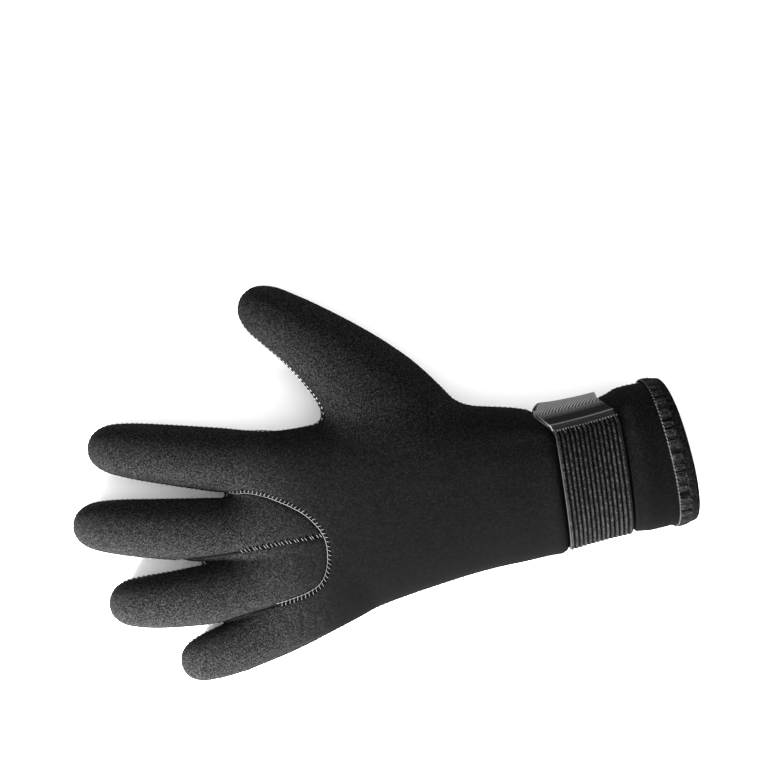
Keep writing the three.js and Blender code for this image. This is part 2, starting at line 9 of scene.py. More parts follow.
import bpy
import numpy as np
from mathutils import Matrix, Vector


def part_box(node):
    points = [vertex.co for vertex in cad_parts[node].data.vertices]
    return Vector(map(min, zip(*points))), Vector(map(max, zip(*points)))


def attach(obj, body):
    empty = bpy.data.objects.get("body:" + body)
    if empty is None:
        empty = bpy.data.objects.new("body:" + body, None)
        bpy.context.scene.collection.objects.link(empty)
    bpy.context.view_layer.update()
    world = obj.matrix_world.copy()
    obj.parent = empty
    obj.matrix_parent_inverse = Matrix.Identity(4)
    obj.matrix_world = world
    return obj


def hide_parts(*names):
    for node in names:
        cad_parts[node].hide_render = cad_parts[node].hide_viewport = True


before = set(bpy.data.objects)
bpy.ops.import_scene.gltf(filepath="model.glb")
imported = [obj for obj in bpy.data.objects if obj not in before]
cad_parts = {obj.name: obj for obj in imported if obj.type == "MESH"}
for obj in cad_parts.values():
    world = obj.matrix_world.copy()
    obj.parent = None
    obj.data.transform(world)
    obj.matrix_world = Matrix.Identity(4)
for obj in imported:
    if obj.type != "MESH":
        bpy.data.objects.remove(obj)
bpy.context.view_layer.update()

# %% [markdown]
# ## The camera
# The photograph looks straight down on the glove, turned in the picture by fifteen degrees. So the camera
# hangs over the glove and is rolled, and the glove itself stays square to its own frame. A long lens gives
# the flat look of a product photograph.

# %% Camera straight above, rolled
MM = 0.001
PICTURE_TURN = math.radians(15.0)        # the hand's axis against the picture's right
CAMERA_HEIGHT = 1.2                      # metres over the surface
PICTURE_SCALE = 0.44 * MM                # metres to a pixel, at the middle height of the glove
GLOVE_MIDDLE_HEIGHT = 15 * MM
PICTURE_PIXELS = 768
SENSOR = 36.0
PICTURE_CENTRE = (8.1 * MM, 28.25 * MM)  # its centre's place, right and up of the part's origin

right = np.array([math.cos(PICTURE_TURN), -math.sin(PICTURE_TURN)])
up = np.array([math.sin(PICTURE_TURN), math.cos(PICTURE_TURN)])
aim = right * PICTURE_CENTRE[0] + up * PICTURE_CENTRE[1]

camera_data = bpy.data.cameras.new("camera")
camera_data.sensor_width = SENSOR
camera_data.lens = SENSOR * (CAMERA_HEIGHT - GLOVE_MIDDLE_HEIGHT) / (PICTURE_SCALE * PICTURE_PIXELS)
camera_data.clip_end = 20.0
camera = bpy.data.objects.new("camera", camera_data)
camera.location = (aim[0], aim[1], CAMERA_HEIGHT)
camera.rotation_euler = (0.0, 0.0, -PICTURE_TURN)
bpy.context.scene.collection.objects.link(camera)
bpy.context.scene.camera = camera
print("lens", round(camera_data.lens, 1), "mm, looking down at", aim.round(4))

# %% [markdown]
# ## The form of the hand
# A glove that keeps its form is a few rounded sections carried along lines: one line for the hand and cuff,
# and one for each digit. The tables give the sections in shares of named sizes, in millimetres, with the
# wrist's crease as the start. They are the same tables that the solids follow, so the skin lies where the
# solids are.

# %% Sizes and sections, in millimetres
WALL = 3.0
HAND_LENGTH, KNUCKLE_WIDTH, HAND_HEIGHT = 163.0, 94.5, 38.0
CUFF_LENGTH, WRIST_WIDTH, WRIST_HEIGHT = 41.5, 64.0, 45.5
STRAP_WIDTH, STRAP_PLACE, STRAP_THICKNESS = 28.0, 4.0, 1.8
PACKED_STRAP_PLACE = 6.6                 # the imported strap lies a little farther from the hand
SEAT_GAP = 0.35
BACK_ROUNDNESS, PALM_ROUNDNESS = 2.25, 2.7
DIGIT_BACK_ROUNDNESS, DIGIT_PALM_ROUNDNESS = 2.15, 2.3
BODY_MIDDLE = 0.46                       # height of a section's widest place, share of its own height
STRAP_PULL = 0.26                        # how far the strap wanders to the hand, share of its width
STRAP_PULL_BACK, STRAP_PULL_BACK_EASE = 55.0, 37.0
STRAP_PULL_PALM, STRAP_PULL_PALM_EASE = 85.0, 50.0


def table(names, *rows):
    """A short table as a dictionary of columns."""
    return dict(zip(names.split(), np.array(rows, float).T))


HAND_ROWS = table(
    "at thumb little crown sole",
    (1.000, 0.148, -0.317, 0.20, 0.12),
    (0.970, 0.245, -0.381, 0.32, 0.05),
    (0.920, 0.440, -0.423, 0.46, -0.01),
    (0.847, 0.553, -0.420, 0.63, -0.03),
    (0.736, 0.551, -0.394, 0.80, -0.03),
    (0.613, 0.546, -0.352, 0.90, -0.03),
    (0.460, 0.529, -0.328, 0.97, -0.03),
    (0.307, 0.476, -0.317, 1.03, -0.02),
    (0.184, 0.400, -0.324, 1.09, 0.01),
)
CUFF_ROWS = table(
    "edge at thumb little crown sole slant lean pull",
    (-1, -0.11, 0.484, -0.470, 0.935, 0.049, 0.085, 0.00, 0.8),
    (-1, -0.03, 0.456, -0.450, 0.932, 0.052, 0.110, 0.00, 1.0),
    (1, 0.03, 0.456, -0.448, 0.950, 0.052, 0.110, 0.02, 1.0),
    (1, 0.17, 0.500, -0.476, 0.990, 0.036, 0.066, 0.06, 0.4),
    (0, 0.80, 0.506, -0.490, 1.000, 0.034, 0.020, 0.13, 0.0),
    (0, 1.00, 0.490, -0.480, 1.000, 0.034, 0.000, 0.15, 0.0),
)
DIGITS = {
    "thumb": dict(length=110.2, width=44.0, height=27.0, along=0.356, across=0.275,
                  heading=127.4, bow=-0.044, roll=17, thumb_side=1),
    "index": dict(length=82.4, width=28.6, height=24.0, along=0.798, across=0.408,
                  heading=159.1, bow=0.0, roll=-3, thumb_side=-1),
    "middle": dict(length=83.6, width=28.6, height=24.0, along=0.871, across=0.133,
                   heading=163.5, bow=0.01, roll=9, thumb_side=-1),
    "ring": dict(length=71.0, width=27.4, height=24.0, along=0.890, across=-0.097,
                 heading=173.7, bow=0.038, roll=17, thumb_side=-1),
    "little": dict(length=65.0, width=25.4, height=22.0, along=0.785, across=-0.265,
                   heading=190.0, bow=0.04, roll=17, thumb_side=-1),
}
FINGER_ROWS = table(
    "at width height centre side",
    (0.000, 1.00, 0.96, 0.52, 0), (0.250, 1.00, 1.00, 0.48, 0), (0.450, 0.96, 1.00, 0.47, 0),
    (0.600, 0.92, 0.97, 0.45, 0), (0.740, 0.87, 0.91, 0.42, 0), (0.850, 0.79, 0.82, 0.39, 0),
    (0.915, 0.69, 0.71, 0.37, 0), (0.960, 0.53, 0.55, 0.36, 0), (0.985, 0.36, 0.38, 0.355, 0),
    (1.000, 0.12, 0.13, 0.35, 0),
)
THUMB_ROWS = table(
    "at width height centre side",
    (0.000, 0.96, 1.10, 0.56, 0.03), (0.160, 1.04, 1.12, 0.54, 0.05), (0.310, 1.12, 1.08, 0.52, 0.09),
    (0.400, 1.06, 1.05, 0.50, 0.08), (0.500, 0.90, 1.02, 0.49, 0.03), (0.600, 0.79, 1.00, 0.48, 0.01),
    (0.700, 0.70, 0.96, 0.46, 0.00), (0.810, 0.62, 0.90, 0.43, 0.00), (0.895, 0.55, 0.79, 0.40, 0.00),
    (0.945, 0.45, 0.65, 0.38, 0.00), (0.980, 0.31, 0.45, 0.37, 0.00), (1.000, 0.09, 0.13, 0.36, 0.00),
)
print(len(DIGITS), "digits,", len(HAND_ROWS["at"]) + len(CUFF_ROWS["at"]), "sections of hand and cuff")

# %% [markdown]
# A table column becomes a smooth function by cubic curves between its rows. Reading it once at many places
# and looking the rest up between them makes it quick enough for millions of points.

# %% Smooth columns
COLUMN_SAMPLES = 1500


def smooth_column(keys, values, low, high):
    """A column as a function of its key: a cubic between two rows, whose slope at a row is that between its
    two neighbours, and a straight line beyond the last rows. It is tabulated from low to high, and held
    there."""
    order = np.argsort(keys)
    keys, values = keys[order], values[order]
    slope = np.empty_like(values)
    slope[1:-1] = (values[2:] - values[:-2]) / (keys[2:] - keys[:-2])
    slope[0] = (values[1] - values[0]) / (keys[1] - keys[0])
    slope[-1] = (values[-1] - values[-2]) / (keys[-1] - keys[-2])
    at = np.linspace(low, high, COLUMN_SAMPLES)
    i = np.clip(np.searchsorted(keys, at) - 1, 0, len(keys) - 2)
    span = keys[i + 1] - keys[i]
    t = (at - keys[i]) / span
    cubic = (values[i] * (2 * t**3 - 3 * t**2 + 1) + values[i + 1] * (3 * t**2 - 2 * t**3)
             + span * slope[i] * (t**3 - 2 * t**2 + t) + span * slope[i + 1] * (t**3 - t**2))
    straight = values[i] + (values[i + 1] - values[i]) * t
    fine = np.where((t < 0) | (t > 1), straight, cubic)
    return lambda where: np.interp(where, at, fine)


def smooth_step(t):
    """0 below nought, 1 above one, and a smooth S between them."""
    t = np.clip(t, 0.0, 1.0)
    return t * t * (3 - 2 * t)


MOUTH_OVERRUN = 14.0                     # the skin is made this much too long, and then cut at the mouth
strap_edge = np.abs(CUFF_ROWS["edge"]) * STRAP_PLACE + CUFF_ROWS["edge"] * STRAP_WIDTH / 2
body_station = np.concatenate([-HAND_ROWS["at"] * HAND_LENGTH, strap_edge + CUFF_ROWS["at"] * CUFF_LENGTH])
body = {}
for name in ("thumb", "little", "crown", "sole", "slant", "lean", "pull"):
    hand_size = KNUCKLE_WIDTH if name in ("thumb", "little") else HAND_HEIGHT
    cuff_size = {"thumb": WRIST_WIDTH, "little": WRIST_WIDTH, "crown": WRIST_HEIGHT, "sole": WRIST_HEIGHT}
    hand_part = HAND_ROWS[name] * hand_size if name in HAND_ROWS else np.zeros(len(HAND_ROWS["at"]))
    cuff_part = CUFF_ROWS[name] * cuff_size.get(name, 1.0)
    body[name] = smooth_column(body_station, np.concatenate([hand_part, cuff_part]),
                               -HAND_LENGTH, CUFF_LENGTH + MOUTH_OVERRUN)
print("hand's crown at the knuckles:", round(float(body["crown"](-0.8 * HAND_LENGTH)), 1), "mm")

# %% [markdown]
# ## Sections of the cuff
# Strap, tab and hem are carried round the cuff, so they need a point at a place along the hand, at a turn
# round it, and at a height over it. Sections near the strap are slanted, and pulled towards the hand at the
# thumb side, as the tab draws the strap there.

# %% A point on or over the cuff
OUTLINE_STEP = 0.02


def body_row(station):
    """The body's columns at a station, with the section's half width, its middle, and its rise and drop
    from the height where it is widest."""
    row = {name: column(station) for name, column in body.items()}
    row["half"] = (row["thumb"] - row["little"]) / 2
    row["middle_y"] = (row["thumb"] + row["little"]) / 2
    row["middle_z"] = row["sole"] + BODY_MIDDLE * (row["crown"] - row["sole"])
    row["rise"] = row["crown"] - row["middle_z"]
    row["drop"] = row["middle_z"] - row["sole"]
    return row


def section(turn, row):
    """Rounded outline: y = half * c^(2/p) and z = rise or -drop * s^(2/p), for the turn's cosine c and sine
    s."""
    c, s = np.cos(turn), np.sin(turn)
    power = np.where(s >= 0, BACK_ROUNDNESS, PALM_ROUNDNESS)
    y = np.sign(c) * row["half"] * np.abs(c) ** (2 / power)
    z = np.where(s >= 0, row["rise"], -row["drop"]) * np.abs(s) ** (2 / power)
    return y, z


def strap_pull(turn):
    """Millimetres that the strap is drawn towards the hand: full at the thumb side, easing out round the
    wrist."""
    degrees = np.degrees(np.arctan2(np.sin(turn), np.cos(turn)))
    on_back = smooth_step((STRAP_PULL_BACK - degrees) / STRAP_PULL_BACK_EASE)
    on_palm = smooth_step((STRAP_PULL_PALM + degrees) / STRAP_PULL_PALM_EASE)
    return STRAP_PULL * STRAP_WIDTH * np.where(degrees > 0, on_back, on_palm)


def section_shift(row, y, z, turn):
    """How far a section's point lies along the hand from its station: slant * y + lean * z - pull."""
    return row["slant"] * y + row["lean"] * (z - row["middle_z"]) - row["pull"] * strap_pull(turn)


def cuff_point(station, turn, out):
    """A point over the cuff: the section's outline at the turn, moved out square to it, then shifted along
    the hand. Turn 0 faces the thumb, a quarter turn is the back of the hand."""
    station, turn, out = np.broadcast_arrays(np.asarray(station, float), turn, out)
    row = body_row(station)
    y, z = section(turn, row)
    y1, z1 = section(turn + OUTLINE_STEP, row)
    y0, z0 = section(turn - OUTLINE_STEP, row)
    length = np.hypot(z1 - z0, y1 - y0)
    y = row["middle_y"] + y + out * (z1 - z0) / length
    z = row["middle_z"] + z - out * (y1 - y0) / length
    return np.stack([station + section_shift(row, y, z, turn), y, z], axis=-1)


def box_middle(points):
    """Middle of a cloud's box."""
    flat = points.reshape(-1, 3)
    return (flat.min(0) + flat.max(0)) / 2


PLACE_SIDES = 32
place_turn, place_edge = np.meshgrid(np.arange(PLACE_SIDES) * 2 * math.pi / PLACE_SIDES, [-1, 1])
place_station = PACKED_STRAP_PLACE + place_edge * STRAP_WIDTH / 2
strap_cloud = cuff_point(place_station, place_turn, SEAT_GAP + STRAP_THICKNESS)
strap_low, strap_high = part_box("wrist_strap")
strap_middle = np.array([(a + b) / 2 for a, b in zip(strap_low, strap_high)])
crease_place = strap_middle / MM - box_middle(strap_cloud)
crease_place[2] = 0.0
print("the wrist's crease lies at", crease_place.round(2), "mm in the part's frame")

# %% [markdown]
# ## The skin as a level surface
# Five tubes that run into one hand could be lofted and joined by booleans, but their joints would be hard
# creases. Here each form is a distance: below nought inside it, above nought outside. Forms are then
# blended by a smooth minimum, which fills the webs between the digits as stretched rubber does, and the
# surface that is cut flat by the floor is a smooth maximum.

# %% Distances of the hand and of a digit
STATION_STEPS = 4
SMALLEST = 1e-3


def blend_min(a, b, reach):
    """Smooth minimum: the smaller, less reach/4 * h^2, where h falls from 1 to 0 as they part by the
    reach."""
    h = np.clip(1 - np.abs(a - b) / reach, 0, None)
    return np.minimum(a, b) - h * h * reach / 4


def blend_max(a, b, reach):
    """Smooth maximum, the mirror image of the smooth minimum."""
    return -blend_min(-a, -b, reach)


def round_measure(y, z, half, rise, power):
    """q = ((|y|/half)^p + (|z|/rise)^p)^(1/p), which is 1 on the section, and how fast it grows there per
    mm."""
    v, w = np.abs(y) / half, np.abs(z) / rise
    q = np.maximum((v**power + w**power) ** (1 / power), SMALLEST)
    growth = np.hypot((v / q) ** (power - 1) / half, (w / q) ** (power - 1) / rise)
    return q, growth


def hand_station(x, y, z):
    """Which section of the hand or cuff a point lies in: its x, less the slant, lean and pull, found in
    steps."""
    station = x
    for _ in range(STATION_STEPS):
        row = body_row(station)
        off_y, off_z = y - row["middle_y"], z - row["middle_z"]
        power = np.where(off_z > 0, BACK_ROUNDNESS, PALM_ROUNDNESS) / 2
        high = np.where(off_z > 0, row["rise"], row["drop"])
        turn = np.arctan2(np.sign(off_z) * (np.abs(off_z) / high) ** power,
                          np.sign(off_y) * (np.abs(off_y) / row["half"]) ** power)
        station = x - section_shift(row, y, z, turn)
    return station


def hand_distance(x, y, z):
    """Distance to the hand and cuff: (q - 1) over its growth, capped at the finger web."""
    row = body_row(hand_station(x, y, z))
    off_z = z - row["middle_z"]
    high = np.where(off_z > 0, row["rise"], row["drop"])
    power = np.where(off_z > 0, BACK_ROUNDNESS, PALM_ROUNDNESS)
    q, growth = round_measure(y - row["middle_y"], off_z, row["half"], high, power)
    return blend_max((q - 1) / growth, -HAND_LENGTH - x, WALL)


def digit_columns(name):
    """Smooth columns of a digit. The width goes in as its square, which falls evenly to nought at a round
    tip."""
    rows = THUMB_ROWS if name == "thumb" else FINGER_ROWS
    squared = smooth_column(rows["at"], rows["width"] ** 2, 0.0, 1.2)
    return dict(
        squared=squared,
        ratio=smooth_column(rows["at"], rows["height"] / rows["width"], 0.0, 1.0),
        centre=smooth_column(rows["at"], rows["centre"], 0.0, 1.0),
        side=smooth_column(rows["at"], rows["side"], 0.0, 1.0),
    )


for name, digit in DIGITS.items():
    heading = math.radians(digit["heading"])
    digit["ahead"] = np.array([math.cos(heading), math.sin(heading)])
    digit["aside"] = np.array([-math.sin(heading), math.cos(heading)])
    digit["root"] = np.array([-digit["along"] * HAND_LENGTH, digit["across"] * KNUCKLE_WIDTH])
    digit["columns"] = digit_columns(name)


def digit_place(digit, x, y):
    """Share of the digit's length, and millimetres to the side of its bowed middle line, of a place in
    plan."""
    dx, dy = x - digit["root"][0], y - digit["root"][1]
    ahead = dx * digit["ahead"][0] + dy * digit["ahead"][1]
    aside = dx * digit["aside"][0] + dy * digit["aside"][1]
    length, bow = digit["length"], 4 * digit["bow"]
    at = ahead / length
    slope = bow * (1 - 2 * at)
    at = at + slope * (aside - bow * length * at * (1 - at)) / (length * (1 + slope**2))
    slope = bow * (1 - 2 * at)
    off = aside - bow * length * at * (1 - at)
    return at, (off - (ahead - at * length) * slope) / np.sqrt(1 + slope**2)


TIP_STEP = 0.01
FINGER_OVERLAP = 0.22                    # a finger's form runs on so far into the hand, share of its length


def digit_distance(digit, x, y, z):
    """Distance to a digit: q^2 less the squared width share, over its own slope, so that a tip comes out
    round."""
    at, across = digit_place(digit, x, y)
    columns = digit["columns"]
    across = across - columns["side"](at) * digit["width"]
    rise = z - columns["centre"](at) * digit["height"]
    high = digit["height"] / 2 * columns["ratio"](at)
    power = np.where(rise > 0, DIGIT_BACK_ROUNDNESS, DIGIT_PALM_ROUNDNESS)
    q, growth = round_measure(across, rise, digit["width"] / 2, high, power)
    squared = columns["squared"](at)
    taper = (columns["squared"](at + TIP_STEP) - columns["squared"](at - TIP_STEP)) / (2 * TIP_STEP)
    slope = np.hypot(2 * q * growth, taper / digit["length"])
    distance = np.clip((q * q - squared) / np.maximum(slope, SMALLEST), -digit["width"], None)
    overlap = 0.0 if digit["thumb_side"] == 1 else FINGER_OVERLAP
    return blend_max(distance, -(at + overlap) * digit["length"], 2 * WALL)


FINGER_BLEND, THUMB_BLEND, FLOOR_BLEND = 1.2, 6.0, 2.0
HAND_BLEND_LOW, HAND_BLEND_TOP = 2.5, 10.0   # hand to fingers: narrow in the webs, wide over the knuckles
BLEND_START, BLEND_EASE = 13.0, 7.0          # heights between which the one becomes the other
OUTER_BLEND = 6.0                            # and wide on the outer sides of the index and little fingers
OUTER_MIDDLE, OUTER_FROM, OUTER_EASE = 11.0, 38.0, 6.0


def glove_distance(x, y, z):
    """Distance to the whole glove: hand and digits by smooth minimum, cut by the floor by smooth maximum."""
    fingers = digit_distance(DIGITS["index"], x, y, z)
    for name in ("middle", "ring", "little"):
        fingers = blend_min(fingers, digit_distance(DIGITS[name], x, y, z), FINGER_BLEND)
    reach = HAND_BLEND_LOW + (HAND_BLEND_TOP - HAND_BLEND_LOW) * smooth_step((z - BLEND_START) / BLEND_EASE)
    outer_side = smooth_step((np.abs(y - OUTER_MIDDLE) - OUTER_FROM) / OUTER_EASE)
    reach = np.maximum(reach, OUTER_BLEND * outer_side)
    glove = blend_min(hand_distance(x, y, z), fingers, reach)
    glove = blend_min(glove, digit_distance(DIGITS["thumb"], x, y, z), THUMB_BLEND)
    return blend_max(glove, -z, FLOOR_BLEND)


hand_middle = np.array([[-80.0], [5.0], [16.0]])
print("middle of the hand is", round(-float(glove_distance(*hand_middle)[0]), 1), "mm deep")

# %% [markdown]
# ## From distances to a mesh
# The distance is read on a grid of points. Every cell that the surface passes through gets one vertex,
# where the surface crosses the cell's edges on average, and every grid edge that the surface crosses gets
# one square between its four cells. That is the surface nets method, and it is all array work. The vertices
# are then drawn onto the surface along the distance's own slope.

# %% Surface net
CELL = 1.05
GRADIENT_STEP = 0.1


def read_grid(distance, low, high):
    """The distance at each point of a grid with CELL spacing, and the grid's axes."""
    axes = [np.arange(a, b + CELL, CELL) for a, b in zip(low, high)]
    values = np.empty([len(a) for a in axes])
    for i, x in enumerate(axes[0]):
        y, z = np.meshgrid(axes[1], axes[2], indexing="ij")
        values[i] = distance(np.full_like(y, x), y, z)
    return axes, values


def surface_net(axes, values):
    """Vertices and squares of the level surface at nought, with the squares facing out."""
    inside = values < 0
    nx, ny, nz = np.array(inside.shape) - 1
    counts = sum(inside[i:nx + i, j:ny + j, k:nz + k].astype(int)
                 for i in (0, 1) for j in (0, 1) for k in (0, 1))
    cells = np.argwhere((counts > 0) & (counts < 8))
    total, hits = np.zeros((len(cells), 3)), np.zeros(len(cells))
    for axis in range(3):
        for a in (0, 1):
            for b in (0, 1):
                start = np.insert(np.array([a, b]), axis, 0)
                end = np.insert(np.array([a, b]), axis, 1)
                fa, fb = values[tuple((cells + start).T)], values[tuple((cells + end).T)]
                crossed = (fa < 0) != (fb < 0)
                share = fa / np.where(crossed, fa - fb, 1.0)
                total += np.where(crossed[:, None], start + share[:, None] * (end - start), 0.0)
                hits += crossed
    origin = np.array([a[0] for a in axes])
    points = origin + (cells + total / hits[:, None]) * CELL
    index = np.full(np.array(values.shape) - 1, -1)
    index[tuple(cells.T)] = np.arange(len(cells))
    squares = []
    for axis in range(3):
        first = np.take(inside, range(inside.shape[axis] - 1), axis)
        second = np.take(inside, range(1, inside.shape[axis]), axis)
        edges = np.argwhere(first != second)
        across = np.delete(edges, axis, 1)
        limit = np.delete(np.array(inside.shape), axis)
        edges = edges[((across > 0) & (across < limit - 1)).all(1)]
        u, v = (axis + 1) % 3, (axis + 2) % 3
        corners = []
        for du, dv in ((-1, -1), (0, -1), (0, 0), (-1, 0)):
            cell = edges.copy()
            cell[:, u] += du
            cell[:, v] += dv
            corners.append(index[tuple(cell.T)])
        square = np.stack(corners, 1)
        outwards = first[tuple(edges.T)]
        squares.append(np.where(outwards[:, None], square, square[:, ::-1]))
    return points, np.concatenate(squares)


def slope_of(function, points):
    """Central differences of a function of x, y, z at each point."""
    columns = []
    for axis in range(3):
        step = np.zeros(3)
        step[axis] = GRADIENT_STEP
        ahead, behind = function(*(points + step).T), function(*(points - step).T)
        columns.append((ahead - behind) / (2 * GRADIENT_STEP))
    return np.stack(columns, 1)


def unit(vectors):
    """Vectors at length one."""
    return vectors / np.maximum(np.linalg.norm(vectors, axis=-1, keepdims=True), 1e-9)


def draw_onto_skin(points, steps=2):
    """Points moved along the distance's slope until the distance is nought."""
    for _ in range(steps):
        slope = slope_of(glove_distance, points)
        size = np.maximum((slope**2).sum(1), 0.05)
        points = points - (glove_distance(*points.T) / size)[:, None] * slope
    return points


def neighbour_mean(points, faces, count):
    """Mean of each vertex's neighbours along the edges of the faces."""
    ends = np.concatenate([np.stack([faces[:, i], faces[:, (i + 1) % 4]], 1) for i in range(4)])
    total = np.stack([np.bincount(ends[:, 0], points[ends[:, 1], k], count) for k in range(3)], 1)
    total += np.stack([np.bincount(ends[:, 1], points[ends[:, 0], k], count) for k in range(3)], 1)
    number = np.bincount(ends.ravel(), minlength=count)
    return total / np.maximum(number, 1)[:, None]


GRID_LOW = (-HAND_LENGTH - 72.0, -50.0, -3.0)
GRID_HIGH = (CUFF_LENGTH + 15.0, 122.0, 52.0)
EVEN_ROUNDS = 4                          # how often the net is evened out
grid_axes, grid_values = read_grid(glove_distance, GRID_LOW, GRID_HIGH)
skin, squares = surface_net(grid_axes, grid_values)
for _ in range(EVEN_ROUNDS):
    skin = draw_onto_skin(skin + 0.5 * (neighbour_mean(skin, squares, len(skin)) - skin), 1)
skin = draw_onto_skin(skin)
print("skin:", len(skin), "vertices,", len(squares), "squares, off by",
      round(float(np.abs(glove_distance(*skin.T)).max()), 3), "mm")

# %% [markdown]
# ## Where the panels meet
# Back and palm are sewn together along the sides of the hand and round every finger. The two middle fingers
# have backs of their own, set in by a U-shaped seam and sewn to each other by a straight one. Each seam is
# where a field is nought: a height over the plan for the side seam, and the distance to a curve in plan for
# the others.

# %% Fields that are nought on the seams
INSERT_DEPTH, INSERT_WIDTH, INSERT_MIDDLE = 48.0, 54.0, 0.053
SEAM_LEVEL, SEAM_BODY_LEVEL, SEAM_HAND_WEIGHT = 0.46, 0.44, 0.06
SEAM_DIGIT_START, SEAM_DIGIT_EASE = 0.05, 0.4
INSERT_ROWS = table(
    "back side",
    (0.22, 1.00), (0.41, 0.93), (0.63, 0.73), (0.87, 0.37), (0.99, -0.04),
    (0.97, -0.44), (0.87, -0.76), (0.69, -0.90), (0.34, -0.96), (0.02, -1.00),
)
INDEX_GAP_ROWS = table("ahead out", (1.05, 0.385), (0.33, 0.103))
LITTLE_GAP_ROWS = table("ahead out", (0.31, 0.026), (0.93, 0.0))
MIDDLE_SEAM_ROWS = table(
    "back side",
    (1.30, -0.035), (0.55, 0.0), (0.20, 0.015), (-0.05, 0.03),
    (-0.50, 0.085), (-0.95, 0.16), (-1.90, 0.355),
)
PLAN_STEP = 1.0
PLAN_LOW, PLAN_HIGH = (-240.0, -80.0), (-90.0, 125.0)
FAR = 400.0


def spline(points, count):
    """Catmull-Rom curve: a cubic from each point to the next, whose slope at a point is half the step from
    the point before it to the point after it."""
    points = np.asarray(points, float)
    padded = np.vstack([points[:1], points, points[-1:]])
    at = np.linspace(0, len(points) - 1, count)
    i = np.minimum(at.astype(int), len(points) - 2)
    u = (at - i)[:, None]
    a, b, c, d = padded[i], padded[i + 1], padded[i + 2], padded[i + 3]
    sa, sb = (c - a) / 2, (d - b) / 2
    return (2 * b - 2 * c + sa + sb) * u**3 + (3 * c - 3 * b - 2 * sa - sb) * u**2 + sa * u + b


def insert_place(back, side):
    """A place in plan from shares of the insert's depth and half width."""
    return np.stack([-HAND_LENGTH + back * INSERT_DEPTH,
                     INSERT_MIDDLE * KNUCKLE_WIDTH + side * INSERT_WIDTH / 2], axis=-1)


def gap_place(rows, end, way):
    """Places in plan in the gap beside a finger, measured from the end of the U."""
    reach = DIGITS["middle"]["length"]
    return np.stack([end[0] - rows["ahead"] * reach, end[1] + way * rows["out"] * reach], axis=-1)


def plan_field(path, far_corners):
    """Distance in plan to a path, negative on the side that far corners close it on. It is worked out once
    on a grid, as the smallest distance to any stretch of the path, and read between the grid's points."""
    gx = np.arange(PLAN_LOW[0], PLAN_HIGH[0] + PLAN_STEP, PLAN_STEP)
    gy = np.arange(PLAN_LOW[1], PLAN_HIGH[1] + PLAN_STEP, PLAN_STEP)
    px, py = (a.ravel()[:, None] for a in np.meshgrid(gx, gy, indexing="ij"))
    a, b = path[:-1], path[1:]
    step = b - a
    share = ((px - a[:, 0]) * step[:, 0] + (py - a[:, 1]) * step[:, 1]) / (step**2).sum(1)
    share = np.clip(share, 0, 1)
    gap = np.hypot(px - a[:, 0] - share * step[:, 0], py - a[:, 1] - share * step[:, 1]).min(1)
    ring = np.vstack([path, far_corners])
    nxt = np.roll(ring, -1, axis=0)
    crossing = (ring[:, 1] > py) != (nxt[:, 1] > py)
    rise = np.where(nxt[:, 1] == ring[:, 1], 1.0, nxt[:, 1] - ring[:, 1])
    where = ring[:, 0] + (py - ring[:, 1]) / rise * (nxt[:, 0] - ring[:, 0])
    inside = (crossing & (px < where)).sum(1) % 2 == 1
    grid = np.where(inside, -gap, gap).reshape(len(gx), len(gy))

    def read(x, y):
        u = np.clip((x - PLAN_LOW[0]) / PLAN_STEP, 0, len(gx) - 1.001)
        v = np.clip((y - PLAN_LOW[1]) / PLAN_STEP, 0, len(gy) - 1.001)
        i, j = u.astype(int), v.astype(int)
        u, v = u - i, v - j
        return ((grid[i, j] * (1 - u) + grid[i + 1, j] * u) * (1 - v)
                + (grid[i, j + 1] * (1 - u) + grid[i + 1, j + 1] * u) * v)

    return read


u_points = insert_place(INSERT_ROWS["back"], INSERT_ROWS["side"])
u_path = spline(np.vstack([gap_place(INDEX_GAP_ROWS, u_points[0], 1), u_points,
                           gap_place(LITTLE_GAP_ROWS, u_points[-1], -1)]), 160)
middle_path = spline(insert_place(MIDDLE_SEAM_ROWS["back"], 2 * MIDDLE_SEAM_ROWS["side"]), 60)
insert_gap = plan_field(u_path, [(-FAR, u_path[-1, 1]), (-FAR, u_path[0, 1])])
middle_gap = plan_field(middle_path, [(-FAR, middle_path[-1, 1]), (-FAR, FAR), (middle_path[0, 0], FAR)])


def square_to_line(digit, at):
    """The two parts of the direction square to a digit's bowed middle line, at a share of its length."""
    turn, aside = np.arctan(4 * digit["bow"] * (1 - 2 * at)), digit["aside"]
    return (aside[0] * np.cos(turn) - aside[1] * np.sin(turn),
            aside[0] * np.sin(turn) + aside[1] * np.cos(turn))


